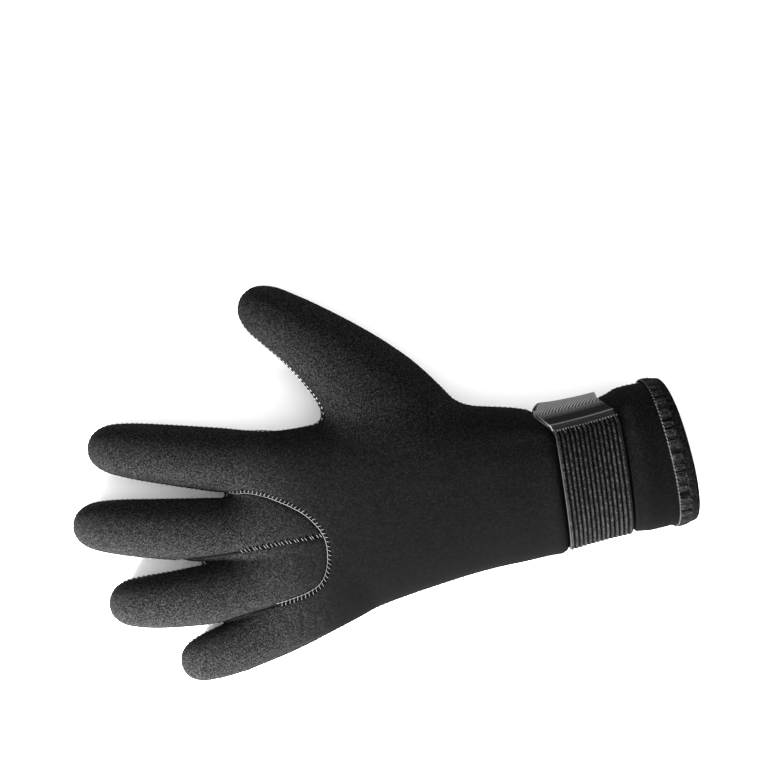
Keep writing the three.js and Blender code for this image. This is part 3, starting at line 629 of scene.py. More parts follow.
def seam_height(x, y):
    """Height of the side seam over a place in plan: every digit asks for its own level and tilt near
    itself, and the hand for its own level elsewhere, and the answers are averaged by nearness."""
    station = np.clip(x, -HAND_LENGTH, CUFF_LENGTH)
    level = body["sole"](station) + SEAM_BODY_LEVEL * (body["crown"](station) - body["sole"](station))
    total, weights = level * SEAM_HAND_WEIGHT, np.full_like(np.asarray(x, float), SEAM_HAND_WEIGHT)
    for digit in DIGITS.values():
        ahead, aside, length = digit["ahead"], digit["aside"], digit["length"]
        dx, dy = x - digit["root"][0], y - digit["root"][1]
        at = (dx * ahead[0] + dy * ahead[1]) / length
        near = np.clip(at, 0, 1)
        bow = 4 * digit["bow"] * near * (1 - near) * length
        ox = dx - ahead[0] * length * near - aside[0] * bow
        oy = dy - ahead[1] * length * near - aside[1] * bow
        side_x, side_y = square_to_line(digit, near)
        across = ox * side_x + oy * side_y
        half = digit["width"] / 2
        weight = smooth_step((at - SEAM_DIGIT_START) / SEAM_DIGIT_EASE)
        weight = weight / (1 + (np.hypot(ox, oy) / half) ** 4)
        tilt = np.tan(np.radians(digit["roll"])) * digit["thumb_side"]
        digit_level = (digit["columns"]["centre"](near) + SEAM_LEVEL - 0.5) * digit["height"]
        total = total + weight * (digit_level + np.clip(across, -half, half) * tilt)
        weights = weights + weight
    return total / weights


SEAM_FIELDS = {
    "side": lambda x, y, z: z - seam_height(x, y),
    "insert": lambda x, y, z: insert_gap(x, y),
    "middle": lambda x, y, z: middle_gap(x, y),
    "mouth": lambda x, y, z: hand_station(x, y, z) - CUFF_LENGTH,
}
print("U seam:", round(float(np.hypot(*np.diff(u_points, axis=0).T).sum()), 1), "mm long in plan")

# %% [markdown]
# ## Cutting the skin into panels
# Each square of the skin belongs to the panel that its middle lies in. The vertices along a border are then
# drawn onto the seam itself, so that panels meet in a clean line and not in steps.

# %% Panels
PANELS = ("back_panel", "palm_panel", "middle_finger_back", "ring_finger_back")
BACK, PALM, MIDDLE, RING, GONE = range(5)
BORDERS = (
    ("side", PALM, (BACK, MIDDLE, RING)),
    ("insert", BACK, (MIDDLE, RING)),
    ("middle", MIDDLE, (RING,)),
    ("mouth", GONE, (BACK, PALM)),
)
LONGEST_MOVE = 1.2


def panel_at(points):
    """Number of the panel at each point."""
    side, insert, middle, mouth = (SEAM_FIELDS[n](*points.T) for n in ("side", "insert", "middle", "mouth"))
    back = np.where(insert > 0, BACK, np.where(middle < 0, MIDDLE, RING))
    return np.where(mouth > 0, GONE, np.where(side < 0, PALM, back))


def along_skin(gradient, normals):
    """What is left of a gradient along the skin, and its size."""
    tangent = gradient - (gradient * normals).sum(1, keepdims=True) * normals
    return tangent, np.maximum(np.linalg.norm(tangent, axis=1), 0.25)


panel = panel_at(skin[squares].mean(1))
touches = np.zeros((len(skin), 5), bool)
for number in range(5):
    touches[np.unique(squares[panel == number]), number] = True
fixed = np.zeros(len(skin), bool)
for name, one, others in BORDERS:
    where = np.flatnonzero(touches[:, one] & touches[:, list(others)].any(1))
    fixed[where] = True
    for _ in range(4):
        here = skin[where]
        normals = unit(slope_of(glove_distance, here))
        tangent, size = along_skin(slope_of(SEAM_FIELDS[name], here), normals)
        move = -(SEAM_FIELDS[name](*here.T) / size)[:, None] * tangent / size[:, None]
        reach = np.linalg.norm(move, axis=1, keepdims=True)
        skin[where] = draw_onto_skin(here + move * np.minimum(1, LONGEST_MOVE / np.maximum(reach, 1e-6)), 1)
for _ in range(3):
    mean = neighbour_mean(skin, squares, len(skin))
    skin = np.where(fixed[:, None], skin, draw_onto_skin(skin + 0.5 * (mean - skin), 1))
normals = unit(slope_of(glove_distance, skin))
print({name: int((panel == i).sum()) for i, name in enumerate(PANELS)}, "squares")

# %% [markdown]
# ## Valleys, creases and the printed palm's depth
# Where two edges of foam rubber are glued and sewn, the thread pulls the faces down into a narrow valley. A
# few short creases cross the little finger's root, where the foam is bent, and one lies under the tab. The
# foam swells up on both sides of the strap, which squeezes it. The palm's ground lies a little deeper than
# the pads that are printed on it, since the glove rests on the pads. All four could be sculpted, but as
# bells along a line or a seam they stay numbers that can be changed. The same cell works out the painted
# light: how much light speckle the knit shows at each place, full on the fingers and the thumb, less on
# hand and cuff.

# %% Depth of the skin under its own smooth form
VALLEY_DEPTH = {"side": 0.5, "insert": 0.6, "middle": 0.8}
VALLEY_WIDTH = {"side": 1.2, "insert": 1.3, "middle": 1.5}
PAD_HEIGHT = 0.4
SWELL, SWELL_REACH, SWELL_START = 1.5, 9.0, 0.2
THUMB_SWELL = 1.3                        # so much more of it on the thumb's side of the hand
THUMB_SWELL_FROM, THUMB_SWELL_EASE = 16.0, 12.0
CREASES = table(
    "x0 y0 x1 y1 deep wide",
    (-132.9, -26.5, -135.6, -37.5, 0.75, 1.0),
    (-131.2, -29.0, -131.8, -36.0, 0.45, 0.7),
    (-128.6, -29.5, -129.0, -35.5, 0.55, 0.8),
    (-121.4, -27.5, -122.4, -34.5, 0.60, 0.8),
    (-139.5, -24.0, -141.5, -34.0, 0.40, 1.2),
    (-9.5, 21.0, -14.5, 26.0, 0.45, 1.0),
)


def seam_gaps(points, normals):
    """Signed distance along the skin from each point to each seam; far away where a seam isn't on that
    side."""
    gaps = {}
    for name in ("side", "insert", "middle"):
        tangent, size = along_skin(slope_of(SEAM_FIELDS[name], points), normals)
        gaps[name] = SEAM_FIELDS[name](*points.T) / size
    on_back = gaps["side"] > -2.0
    gaps["insert"] = np.where(on_back, gaps["insert"], FAR)
    gaps["middle"] = np.where(on_back & (SEAM_FIELDS["insert"](*points.T) < 0.5), gaps["middle"], FAR)
    return gaps


def crease_depth(points):
    """Bell-shaped grooves along short lines in plan, fading out at their ends, with a low swell beside
    them."""
    x, y = points[:, 0, None], points[:, 1, None]
    dx, dy = CREASES["x1"] - CREASES["x0"], CREASES["y1"] - CREASES["y0"]
    length = np.hypot(dx, dy)
    along = ((x - CREASES["x0"]) * dx + (y - CREASES["y0"]) * dy) / length
    off = ((x - CREASES["x0"]) * dy - (y - CREASES["y0"]) * dx) / length / CREASES["wide"]
    fade = np.exp(-((2 * along / length - 1) / 0.9) ** 4)
    return (CREASES["deep"] * fade * (np.exp(-off**2) - 0.35 * np.exp(-(off / 2.2) ** 2))).sum(1)


def strap_swell(points):
    """Millimetres that the foam swells up beside the strap, which squeezes it: steep at the strap's edge,
    then a bell's slow fall away from it."""
    station = hand_station(*points.T)
    away = np.clip(np.abs(station - STRAP_PLACE) - STRAP_WIDTH / 2, 0, None)
    thumb = smooth_step((points[:, 1] - THUMB_SWELL_FROM) / THUMB_SWELL_EASE) * (station < STRAP_PLACE)
    bell = np.exp(-(away / (SWELL_REACH * (1 + thumb))) ** 2)
    return SWELL * (1 + THUMB_SWELL * thumb) * smooth_step((away - SWELL_START) / 1.6) * bell


def skin_depth(points, gaps):
    """Millimetres that the finished face lies under the smooth form: the deepest valley, creases, palm
    ground, less the swelling beside the strap."""
    valley = np.zeros(len(points))
    for name, gap in gaps.items():
        valley = np.maximum(valley, VALLEY_DEPTH[name] * np.exp(-(gap / VALLEY_WIDTH[name]) ** 2))
    ground = PAD_HEIGHT * smooth_step((-gaps["side"] - 1.0) / 1.5) * (1 - valley)
    return valley + crease_depth(points) * (gaps["side"] > 0) + ground - strap_swell(points)


# Painted light: full light speckle on fingers and thumb, less on hand and cuff, least on the little side.
ON_HAND_FROM, ON_HAND_EASE = -150.0, 36.0
OFF_THUMB_FROM, OFF_THUMB_EASE = -2.0, 10.0
HAND_PAINTED_SHADE, PAINTED_SHADE_SLOPE = 0.72, 0.0065     # loss of speckle on the hand, less towards the thumb by this per mm


def painted_light_share_at(points):
    """Painted light: the share of light speckle, full on the fingers and the thumb, less on hand and cuff."""
    off_fingers = smooth_step((points[:, 0] - ON_HAND_FROM) / ON_HAND_EASE)
    thumb = digit_distance(DIGITS["thumb"], *points.T)
    off_thumb = smooth_step((thumb - OFF_THUMB_FROM) / OFF_THUMB_EASE)
    return 1 - (HAND_PAINTED_SHADE - PAINTED_SHADE_SLOPE * points[:, 1]) * off_fingers * off_thumb


seam_gap = seam_gaps(skin, normals)
# Painted light, carried to the material as a share of light speckle.
painted_light_share = painted_light_share_at(skin)
depth = skin_depth(skin, seam_gap)
outer = skin - depth[:, None] * normals
inner = skin - WALL * normals
print("deepest place", round(float(depth.max()), 2), "mm")

# %% [markdown]
# ## Meshes
# All pieces go through one function, which takes millimetres in the hand's frame and moves them to the
# part's. It fills the mesh from whole arrays, which is far quicker than adding faces one by one. Every
# panel is a closed wall of foam rubber: an outer face, an inner face and the cut edge.

# %% Making a piece
def to_part(points):
    """Millimetres in the hand's frame to metres in the part's."""
    return (np.asarray(points, float) + crease_place) * MM


def make_mesh(name, points, faces, smooth=True):
    """Mesh object from an array of points and an array, or a list of arrays, of faces."""
    groups = [np.asarray(f, np.int64) for f in (faces if isinstance(faces, list) else [faces]) if len(f)]
    sizes = np.concatenate([np.full(len(f), f.shape[1]) for f in groups])
    loops = np.concatenate([f.ravel() for f in groups])
    mesh = bpy.data.meshes.new(name)
    mesh.vertices.add(len(points))
    mesh.vertices.foreach_set("co", to_part(points).astype(np.float32).ravel())
    mesh.loops.add(len(loops))
    mesh.loops.foreach_set("vertex_index", loops.astype(np.int32))
    mesh.polygons.add(len(sizes))
    mesh.polygons.foreach_set("loop_start", np.concatenate([[0], np.cumsum(sizes)[:-1]]).astype(np.int32))
    mesh.polygons.foreach_set("use_smooth", np.full(len(sizes), smooth))
    mesh.update(calc_edges=True)
    mesh.validate()
    piece = bpy.data.objects.new(name, mesh)
    bpy.context.scene.collection.objects.link(piece)
    return piece


def give_values(piece, name, values):
    """One number for each vertex, for the material to read."""
    layer = piece.data.attributes.new(name, "FLOAT", "POINT")
    layer.data.foreach_set("value", np.asarray(values, np.float32).ravel())


def rim_edges(faces):
    """Edges that only one square has, in that square's own direction."""
    a, b = faces.ravel(), np.roll(faces, -1, axis=1).ravel()
    key = np.minimum(a, b) * (faces.max() + 1) + np.maximum(a, b)
    _, first, counts = np.unique(key, return_index=True, return_counts=True)
    single = first[counts == 1]
    return a[single], b[single]


def squares_area(points, faces):
    """Area of squares: half the length of the cross product of their diagonals."""
    a, b, c, d = (points[faces[:, i]] for i in range(4))
    return np.linalg.norm(np.cross(c - a, d - b), axis=1).sum() / 2


def make_panel(number):
    """A panel with its outer face, its inner face one wall below, and the cut edge between them."""
    mine = squares[panel == number]
    used, faces = np.unique(mine, return_inverse=True)
    faces = faces.reshape(mine.shape)
    count = len(used)
    a, b = rim_edges(faces)
    rim = np.stack([b, a, a + count, b + count], 1)
    points = np.concatenate([outer[used], inner[used]])
    piece = make_mesh(PANELS[number] + "_cloth", points, np.concatenate([faces, faces[:, ::-1] + count, rim]))
    for name in seam_gap:
        give_values(piece, name + "_seam", np.tile(seam_gap[name][used], 2))
    give_values(piece, "painted_light_share", np.tile(painted_light_share[used], 2))
    return piece, squares_area(outer, mine) * MM * MM


panels, panel_area = {}, {}
for number, name in enumerate(PANELS):
    panels[name], panel_area[name] = make_panel(number)
print({name: round(area * 1e4) for name, area in panel_area.items()}, "square centimetres")

# %% [markdown]
# ## Elastic strap
# The strap is a knitted elastic band. Its fourteen ribs run round the wrist, with narrow grooves between
# them and a thin selvedge at both edges. A closed profile is carried round the cuff.

# %% Strap
STRAP_RIBS, RIB_DEPTH = 14, 0.75
RIB_SAMPLES = 10
STRAP_TURNS = 320
UNEVENNESS, UNEVEN_ROUND, UNEVEN_ACROSS = 0.12, 9.0, 5.0


def facing_out(points, faces):
    """The faces, turned over if the volume that they close round the points' mean comes out negative."""
    a, b, c, d = (points[faces[:, i]] - points.mean(0) for i in range(4))
    volume = (a * np.cross(b, c)).sum() + (a * np.cross(c, d)).sum()
    return faces if volume > 0 else faces[:, ::-1]


def grid_faces(rows, columns, wrap_rows=False, wrap_columns=False):
    """Squares of a grid of rows times columns, numbered row by row."""
    i = np.arange(rows if wrap_rows else rows - 1)[:, None]
    j = np.arange(columns if wrap_columns else columns - 1)[None, :]
    k, m = (i + 1) % rows, (j + 1) % columns
    corners = (i * columns + j, i * columns + m, k * columns + m, k * columns + j)
    return np.stack(np.broadcast_arrays(*corners), axis=-1).reshape(-1, 4)


def arc_length(points):
    """Length of a line of points up to each of them."""
    return np.concatenate([[0.0], np.cumsum(np.linalg.norm(np.diff(points, axis=0), axis=1))])


def round_the_cuff(middle, count, out=0.0):
    """Turns spaced evenly by length round the cuff, from the thumb side, and the way round in millimetres."""
    fine = np.linspace(0, 2 * math.pi, 721)
    length = arc_length(cuff_point(middle, fine, out))
    way = np.linspace(0, length[-1], count, endpoint=False)
    return np.interp(way, length, fine), way, length[-1]


def rounded_rib(place, pitch):
    """Height of rounded ribs from 0 to 1: the root of a half wave, so that tops are wide and grooves
    narrow."""
    return np.sqrt(np.abs(np.sin(math.pi * place / pitch)))


strap_turn, strap_way, strap_length = round_the_cuff(STRAP_PLACE, STRAP_TURNS, STRAP_THICKNESS)
rib_pitch = STRAP_WIDTH / STRAP_RIBS
across_strap = np.linspace(0, STRAP_WIDTH, STRAP_RIBS * RIB_SAMPLES + 1)
strap_top = SEAT_GAP + STRAP_THICKNESS - RIB_DEPTH * (1 - rounded_rib(across_strap, rib_pitch))
strap_along = np.concatenate([[0.0], across_strap, [STRAP_WIDTH]])
strap_out = np.concatenate([[SEAT_GAP], strap_top, [SEAT_GAP]])
uneven = np.sin(strap_way[:, None] / UNEVEN_ROUND) * np.sin(strap_along[None, :] / UNEVEN_ACROSS)
strap_points = cuff_point(STRAP_PLACE - STRAP_WIDTH / 2 + strap_along[None, :], strap_turn[:, None],
                          strap_out[None, :] + (UNEVENNESS * uneven).clip(0))
strap_faces = grid_faces(STRAP_TURNS, len(strap_along), True, True)
strap_flat = strap_points.reshape(-1, 3)
strap = make_mesh("elastic_strap", strap_flat, facing_out(strap_flat, strap_faces))
give_values(strap, "across", np.tile(strap_along, STRAP_TURNS))
give_values(strap, "round", np.repeat(strap_way, len(strap_along)))
print("strap:", round(strap_length), "mm round,", len(strap_faces), "squares")

# %% [markdown]
# ## Tape tab
# Hook tape is sewn to the strap on the back of the wrist, arches over the thumb side and comes down below.
# It is a doubled tape: the outer layer stands off the inner one, and its sewn end is folded over. Each
# layer is a strip of constant thickness over the cuff, whose height is a formula of the way along it and
# across it.

# %% Tab
TAB_START, TAB_END = 47.0, -52.0         # degrees round the wrist, from the thumb side
TAB_STEPS, TAB_COLUMNS = 90, 40
TAB_STAND_OFF = 1.1                      # height of the arch
HAND_END_LIFT, MOUTH_END_LIFT = 2.2, 0.6   # shares of it at the tape's two edges
INNER_STAND_OFF = 0.5
TAB_SEAT = 0.1                           # room between strap and tape
TAPE = 0.8                               # thickness of one layer of tape
FOLD_PLACE, FOLD_WIDTH, FOLD_HEIGHT = 2.2, 0.8, 0.55
CORNER_DEEP, CORNER_WIDE, CORNER_SPREAD = 3.4, 9.0, 17.0   # the hand's edge draws back at the turn


def tape_layer(name, seat, thickness, left, right, start, lift, corner_deep):
    """A layer of tape: height over the cuff is its seat plus a lift that depends on the share of its way
    and on the place across it, with a lower and an upper face and their edges. Its hand's end draws back by
    a bell round the thumb side."""
    share = np.linspace(0, 1, TAB_STEPS)[:, None]
    across = np.linspace(left, right, TAB_COLUMNS)[None, :]
    turn = np.radians(start + (TAB_END - start) * share)
    middle = cuff_point(STRAP_PLACE, turn[:, 0], seat)
    way = arc_length(middle)[:, None]
    height = seat + lift(share, across, way)
    from_left = smooth_step(1 - (across - left) / CORNER_WIDE)
    corner = corner_deep * np.exp(-(np.degrees(turn) / CORNER_SPREAD) ** 2) * from_left
    along = STRAP_PLACE - STRAP_WIDTH / 2 + across + corner
    under = cuff_point(along, turn, height)
    over = cuff_point(along, turn, height + thickness)
    loop = np.concatenate([under, over[:, ::-1]], axis=1)
    points = loop.reshape(-1, 3)
    sides = grid_faces(TAB_STEPS, 2 * TAB_COLUMNS, False, True)
    first = np.arange(TAB_COLUMNS)
    ends = []
    for row in (0, TAB_STEPS - 1):
        a = row * 2 * TAB_COLUMNS + first
        b = row * 2 * TAB_COLUMNS + 2 * TAB_COLUMNS - 1 - first
        cap = np.stack([a[:-1], a[1:], b[1:], b[:-1]], 1)
        ends.append(cap[:, ::-1] if row == 0 else cap)
    piece = make_mesh(name, points, facing_out(points, np.concatenate([sides, *ends])))
    wide = np.broadcast_to(across, height.shape)
    far = np.broadcast_to(way, height.shape)
    give_values(piece, "across", np.concatenate([wide, wide[:, ::-1]], axis=1))
    give_values(piece, "round", np.concatenate([far, far[:, ::-1]], axis=1))
    return piece, float(way[-1, 0])


def outer_lift(share, across, way):
    """The outer layer's height: an arch, higher at the hand's end, and a ridge where its sewn end is
    folded."""
    arch = TAB_STAND_OFF * np.sin(math.pi * share) ** 2
    open_end = HAND_END_LIFT - (HAND_END_LIFT - MOUTH_END_LIFT) * across / STRAP_WIDTH
    ridge = FOLD_HEIGHT * np.exp(-((way - FOLD_PLACE) / FOLD_WIDTH) ** 2)
    return arch * open_end + ridge + TAPE * smooth_step(way / FOLD_PLACE)


def inner_lift(share, across, way):
    """The inner layer's height: a low arch."""
    return INNER_STAND_OFF * np.sin(math.pi * share) ** 2 + 0 * across


strap_face = SEAT_GAP + STRAP_THICKNESS
tape_face = strap_face + TAB_SEAT
tab, tab_length = tape_layer("tape_tab", tape_face, TAPE, 0.0, STRAP_WIDTH, TAB_START, outer_lift,
                             CORNER_DEEP)
under_tab, _ = tape_layer("tape_under_layer", tape_face, 0.6 * TAPE, -0.3, STRAP_WIDTH - 0.6, TAB_START - 6,
                          inner_lift, 0.5)
print("tab:", round(tab_length, 1), "mm of tape")

# %% [markdown]
# ## Bound edge of the cuff
# The cuff's cut edge is bound with a strip of the same knit and sewn over by machine. The strip is smooth
# at the very edge, and gathered into a ladder of small loops between the edge and the stitch line. A closed
# profile is carried round the mouth, as for the strap, and the ladder is a wave of rungs and pressed
# hollows in its outer height. The wave wanders a little, since no machine gathers cloth evenly.

# %% Hem
HEM_WIDTH, HEM_THICKNESS = 7.5, 1.0
HEM_TURNS = 640
LOOP_PITCH = 4.8
LADDER_END = 2.2                         # how far the ladder stops before the cut edge
RUNG_RISE, HOLLOW_DROP = 0.25, 0.65


def ladder_wander(phase):
    """How far the ladder's loops lie from an even pitch, in pitches: two sines of unequal length."""
    return 0.13 * np.sin(phase * 1.7) + 0.09 * np.sin(phase * 4.3 + 1.0)


def corner_round(points, count):
    """A closed profile with its corners rounded, as a closed Catmull-Rom curve through its points."""
    points = np.asarray(points, float)
    ring = np.vstack([points[-2:], points, points[:2]])
    line = spline(ring, (len(ring) - 1) * count + 1)
    return line[2 * count:-2 * count]


hem_outer, hem_inside = SEAT_GAP + HEM_THICKNESS, -WALL - SEAT_GAP
hem_profile = corner_round([
    (-HEM_WIDTH, SEAT_GAP), (-HEM_WIDTH + 0.3, hem_outer - 0.3), (-HEM_WIDTH + 1.2, hem_outer),
    (-5.5, hem_outer), (-4.0, hem_outer), (-2.5, hem_outer), (-1.0, hem_outer),
    (0.6, hem_outer - 0.3), (hem_outer, -0.6), (hem_outer, -2.4), (0.6, hem_inside - 0.7),
    (-1.0, hem_inside - HEM_THICKNESS), (-HEM_WIDTH + 0.6, hem_inside - HEM_THICKNESS),
    (-HEM_WIDTH, hem_inside), (-HEM_WIDTH + 0.6, hem_inside + 0.1), (-0.8, hem_inside + 0.1),
    (SEAT_GAP, hem_inside + 0.8), (SEAT_GAP, -0.4),
    (-0.8, SEAT_GAP - 0.1), (-HEM_WIDTH + 0.8, SEAT_GAP - 0.1),
], 4)
hem_turn, hem_way, hem_length = round_the_cuff(CUFF_LENGTH, HEM_TURNS, HEM_THICKNESS)
loops = round(hem_length / LOOP_PITCH)
loop_phase = (hem_way / hem_length * loops)[:, None]
along, out = hem_profile[None, :, 0], hem_profile[None, :, 1]
in_ladder = smooth_step((along + HEM_WIDTH) / 1.0) * smooth_step((-LADDER_END - along) / 0.8)
in_ladder = in_ladder * smooth_step((out - SEAT_GAP - 0.3) / 0.4)
hollow = np.abs(np.sin(math.pi * (loop_phase + ladder_wander(loop_phase)))) ** 2.5
hollow = hollow * (0.75 + 0.25 * np.sin(loop_phase * 2.9))
hem_out = out + in_ladder * (RUNG_RISE * (1 - hollow) - HOLLOW_DROP * hollow)
hem_points = cuff_point(CUFF_LENGTH + along + 0 * hem_out, hem_turn[:, None], hem_out)
hem_flat = hem_points.reshape(-1, 3)
hem_faces = grid_faces(HEM_TURNS, len(hem_profile), True, True)
hem = make_mesh("bound_hem", hem_flat, facing_out(hem_flat, hem_faces))
give_values(hem, "ladder", np.broadcast_to(in_ladder, hem_out.shape))
give_values(hem, "hollow", in_ladder * hollow)
print("hem:", round(hem_length), "mm round,", loops, "loops")

# %% [markdown]
# ## Paths for the thread
# Thread follows the seams, so each seam is needed as a line on the skin. For the inset fingers the line is
# known in plan and is lifted onto the back by halving. The side seam's line starts as the edges of all the
# digits in a row, and is drawn onto the place where skin and seam meet, again and again, evened out each
# time.

# %% Lines along the seams
HALVINGS = 24
PATH_STEP = 0.5


def lift_onto(points_in_plan, inside, outside):
    """Height at which the skin lies over each place, between a height inside the glove and one outside it."""
    x, y = points_in_plan.T
    low, high = np.broadcast_arrays(inside, outside + 0 * x)
    low, high = low + 0.0, high + 0.0
    for _ in range(HALVINGS):
        half = (low + high) / 2
        within = glove_distance(x, y, half) < 0
        low, high = np.where(within, half, low), np.where(within, high, half)
    return np.stack([x, y, (low + high) / 2], axis=1)


def read_line(points, length, at):
    """Places on a line at lengths along it."""
    return np.stack([np.interp(at, length, column) for column in points.T], axis=1)


def even_line(points, step):
    """The same line with points spaced evenly by length."""
    length = arc_length(points)
    return read_line(points, length, np.linspace(0, length[-1], max(int(length[-1] / step), 2) + 1))


def line_on_back(path, middle, depth_wanted):
    """The stretch of a plan path round its point nearest to a middle that runs over the glove, lifted onto
    its back. It ends where the seam's level is no longer a wanted depth inside the glove."""
    path = even_line(path, PATH_STEP)
    level = seam_height(*path.T)
    outside = np.flatnonzero(glove_distance(path[:, 0], path[:, 1], level) > -depth_wanted)
    centre = np.argmin(np.hypot(path[:, 0] - middle[0], path[:, 1] - middle[1]))
    first = np.max(outside[outside < centre], initial=-1) + 1
    last = np.min(outside[outside > centre], initial=len(path))
    path, level = path[first:last], level[first:last]
    return even_line(lift_onto(path, level, 60.0), PATH_STEP)


def digit_edge(digit, shares, way):
    """Edge of a digit in plan, on one side of its bowed middle line."""
    at = np.asarray(shares)[:, None]
    bow = 4 * digit["bow"]
    middle = (digit["root"] + digit["ahead"] * digit["length"] * at
              + digit["aside"] * bow * digit["length"] * at * (1 - at))
    across = np.concatenate(square_to_line(digit, at), axis=1)
    columns = digit["columns"]
    half = np.sqrt(np.clip(columns["squared"](at), 0, None)) / 2
    return middle + across * digit["width"] * (columns["side"](at) + way * half)


def side_line():
    """The side seam, from the cuff's mouth on the thumb's side round all the digits to the mouth again."""
    out, back = np.linspace(0.1, 1.0, 60), np.linspace(1.0, 0.1, 60)
    stations = np.linspace(CUFF_LENGTH, -60.0, 60)
    parts = [np.stack([stations, body["thumb"](stations)], axis=1)]
    for name in ("thumb", "index", "middle", "ring", "little"):
        parts += [digit_edge(DIGITS[name], out, -1), digit_edge(DIGITS[name], back, 1)]
    stations = np.linspace(-120.0, CUFF_LENGTH, 80)
    parts.append(np.stack([stations, body["little"](stations)], axis=1))
    line = np.vstack(parts)
    depth_inside = glove_distance(line[:, 0], line[:, 1], seam_height(*line.T))
    line = even_line(line[depth_inside > -2.5], PATH_STEP)

    def here(x, y, z):
        return glove_distance(x, y, seam_height(x, y))

    for _ in range(12):
        line[1:-1] += 0.25 * (line[:-2] + line[2:] - 2 * line[1:-1])
        for _ in range(2):
            flat = np.column_stack([line, np.zeros(len(line))])
            slope = slope_of(here, flat)[:, :2]
            size = np.maximum((slope**2).sum(1), 0.2)
            line = line - np.clip(here(*flat.T) / size, -3, 3)[:, None] * slope
        line = even_line(line, PATH_STEP)
    return np.column_stack([line, seam_height(*line.T)])


# Nearer the tips than these places along the hand, the seams hide between the fingers.
OPEN_FROM = {"index": -153.5, "middle": -154.0, "little": -144.0}
insert_line = line_on_back(u_path, u_points[4], 0.3)
middle_line = line_on_back(middle_path, (-HAND_LENGTH + 0.6 * INSERT_DEPTH, 4.0), 1.5)
inside_insert = SEAM_FIELDS["insert"](*middle_line.T) < 0
middle_line = middle_line[inside_insert & (middle_line[:, 0] > OPEN_FROM["middle"])]
open_from = np.where(insert_line[:, 1] > 0, OPEN_FROM["index"], OPEN_FROM["little"])
insert_line = insert_line[insert_line[:, 0] > open_from]
side_seam_line = side_line()
print("seams, mm: insert", round(arc_length(insert_line)[-1]), "middle", round(arc_length(middle_line)[-1]),
      "side", round(arc_length(side_seam_line)[-1]))

# %% [markdown]
# ## Making thread
# A visible stitch is a short strand that leaves the cloth, bows over it and goes in again. So a strand is a
# thin tube between two places on the skin, thickest in its middle. All the strands of a seam are made at
# once, as arrays of points, and joined in one mesh.

# %% Strands, holes and cords
STRAND_RINGS, STRAND_SIDES = 6, 6


def lay_on_skin(points, over):
    """Points drawn onto the finished face of the glove and raised over it, and the directions square to
    it."""
    points = draw_onto_skin(points, 2)
    square = unit(slope_of(glove_distance, points))
    lower = skin_depth(points, seam_gaps(points, square))
    return points + (over - lower)[:, None] * square, square


def places_along(line, pitch, start=0.0, wander=0.0, seed=1):
    """Places at a pitch along a line, with the directions along it and across it: across points to the side
    where the seam's field grows. wander moves them by a share of the pitch at random."""
    length = arc_length(line)
    at = np.arange(start + pitch / 2, length[-1] - pitch / 3, pitch)
    at = at + np.random.default_rng(seed).uniform(-0.5, 0.5, len(at)) * wander * pitch
    point = read_line(line, length, at)
    ahead = read_line(line, length, at + 0.4) - read_line(line, length, at - 0.4)
    square = unit(slope_of(glove_distance, point))
    along = unit(ahead - (ahead * square).sum(1, keepdims=True) * square)
    return point, along, np.cross(square, along)


def side_of(field, point, across):
    """1 or -1 for each place, so that across times it points to where the field grows."""
    ahead, behind = field(*(point + 0.5 * across).T), field(*(point - 0.5 * across).T)
    return np.where(ahead >= behind, 1.0, -1.0)[:, None]


def strand_points(start, end, square, radius, rise):
    """Rings of points round bowed strands. The middle line is start + t (end - start) + 4 t (1 - t) rise,
    and the radius falls to a third at the ends."""
    t = np.linspace(0, 1, STRAND_RINGS)[None, :, None, None]
    angle = (np.arange(STRAND_SIDES) * 2 * math.pi / STRAND_SIDES)[None, None, :, None]
    a, b, n = start[:, None, None, :], end[:, None, None, :], square[:, None, None, :]
    side = unit(np.cross(b - a, n))
    bow = 4 * t * (1 - t)
    return a + t * (b - a) + bow * rise * n + radius * (0.35 + 0.65 * np.sqrt(bow)) * (
        np.cos(angle) * side + np.sin(angle) * n)


def capped_tube(points, rings, sides):
    """Squares of a tube of rings, and a cap for each of its ends, all turned so that they face out."""
    tube = grid_faces(rings, sides, False, True)
    first = np.arange(sides)
    caps = np.stack([first[::-1], first + (rings - 1) * sides])
    turned = facing_out(points, tube) is not tube
    return (tube[:, ::-1], caps[:, ::-1]) if turned else (tube, caps)


def repeated(faces, copies, points_each):
    """The same faces for many copies of a shape, whose points follow one another."""
    base = (np.arange(copies) * points_each)[:, None, None]
    return (faces[None] + base).reshape(-1, faces.shape[1])


def strand_mesh(name, groups):
    """One mesh of many strands; a group is what strand_points gives."""
    each = STRAND_RINGS * STRAND_SIDES
    points = np.concatenate([g.reshape(-1, each, 3) for g in groups])
    parts = capped_tube(points[0], STRAND_RINGS, STRAND_SIDES)
    return make_mesh(name, points.reshape(-1, 3), [repeated(faces, len(points), each) for faces in parts])


def cord_mesh(name, line, square, radius, sides=6):
    """A thin cord along a line, as rings of points round it; radius is one number for each point of the
    line."""
    along = unit(np.gradient(line, axis=0))
    side = unit(np.cross(along, square))
    up = np.cross(side, along)
    angle = (np.arange(sides) * 2 * math.pi / sides)[None, :, None]
    spoke = np.cos(angle) * side[:, None] + np.sin(angle) * up[:, None]
    points = (line[:, None] + radius[:, None, None] * spoke).reshape(-1, 3)
    return make_mesh(name, points, list(capped_tube(points, len(line), sides)))


def dent_points(centre, along, across, long, wide, corners):
    """Flat dents painted black as their shade: a ring of corners round each centre, and the centre itself a
    little deeper.
    """
    angle = (np.arange(corners) * 2 * math.pi / corners)[None, :, None]
    ring = centre[:, None] + long * np.cos(angle) * along[:, None] + wide * np.sin(angle) * across[:, None]
    return np.concatenate([ring, centre[:, None]], axis=1)


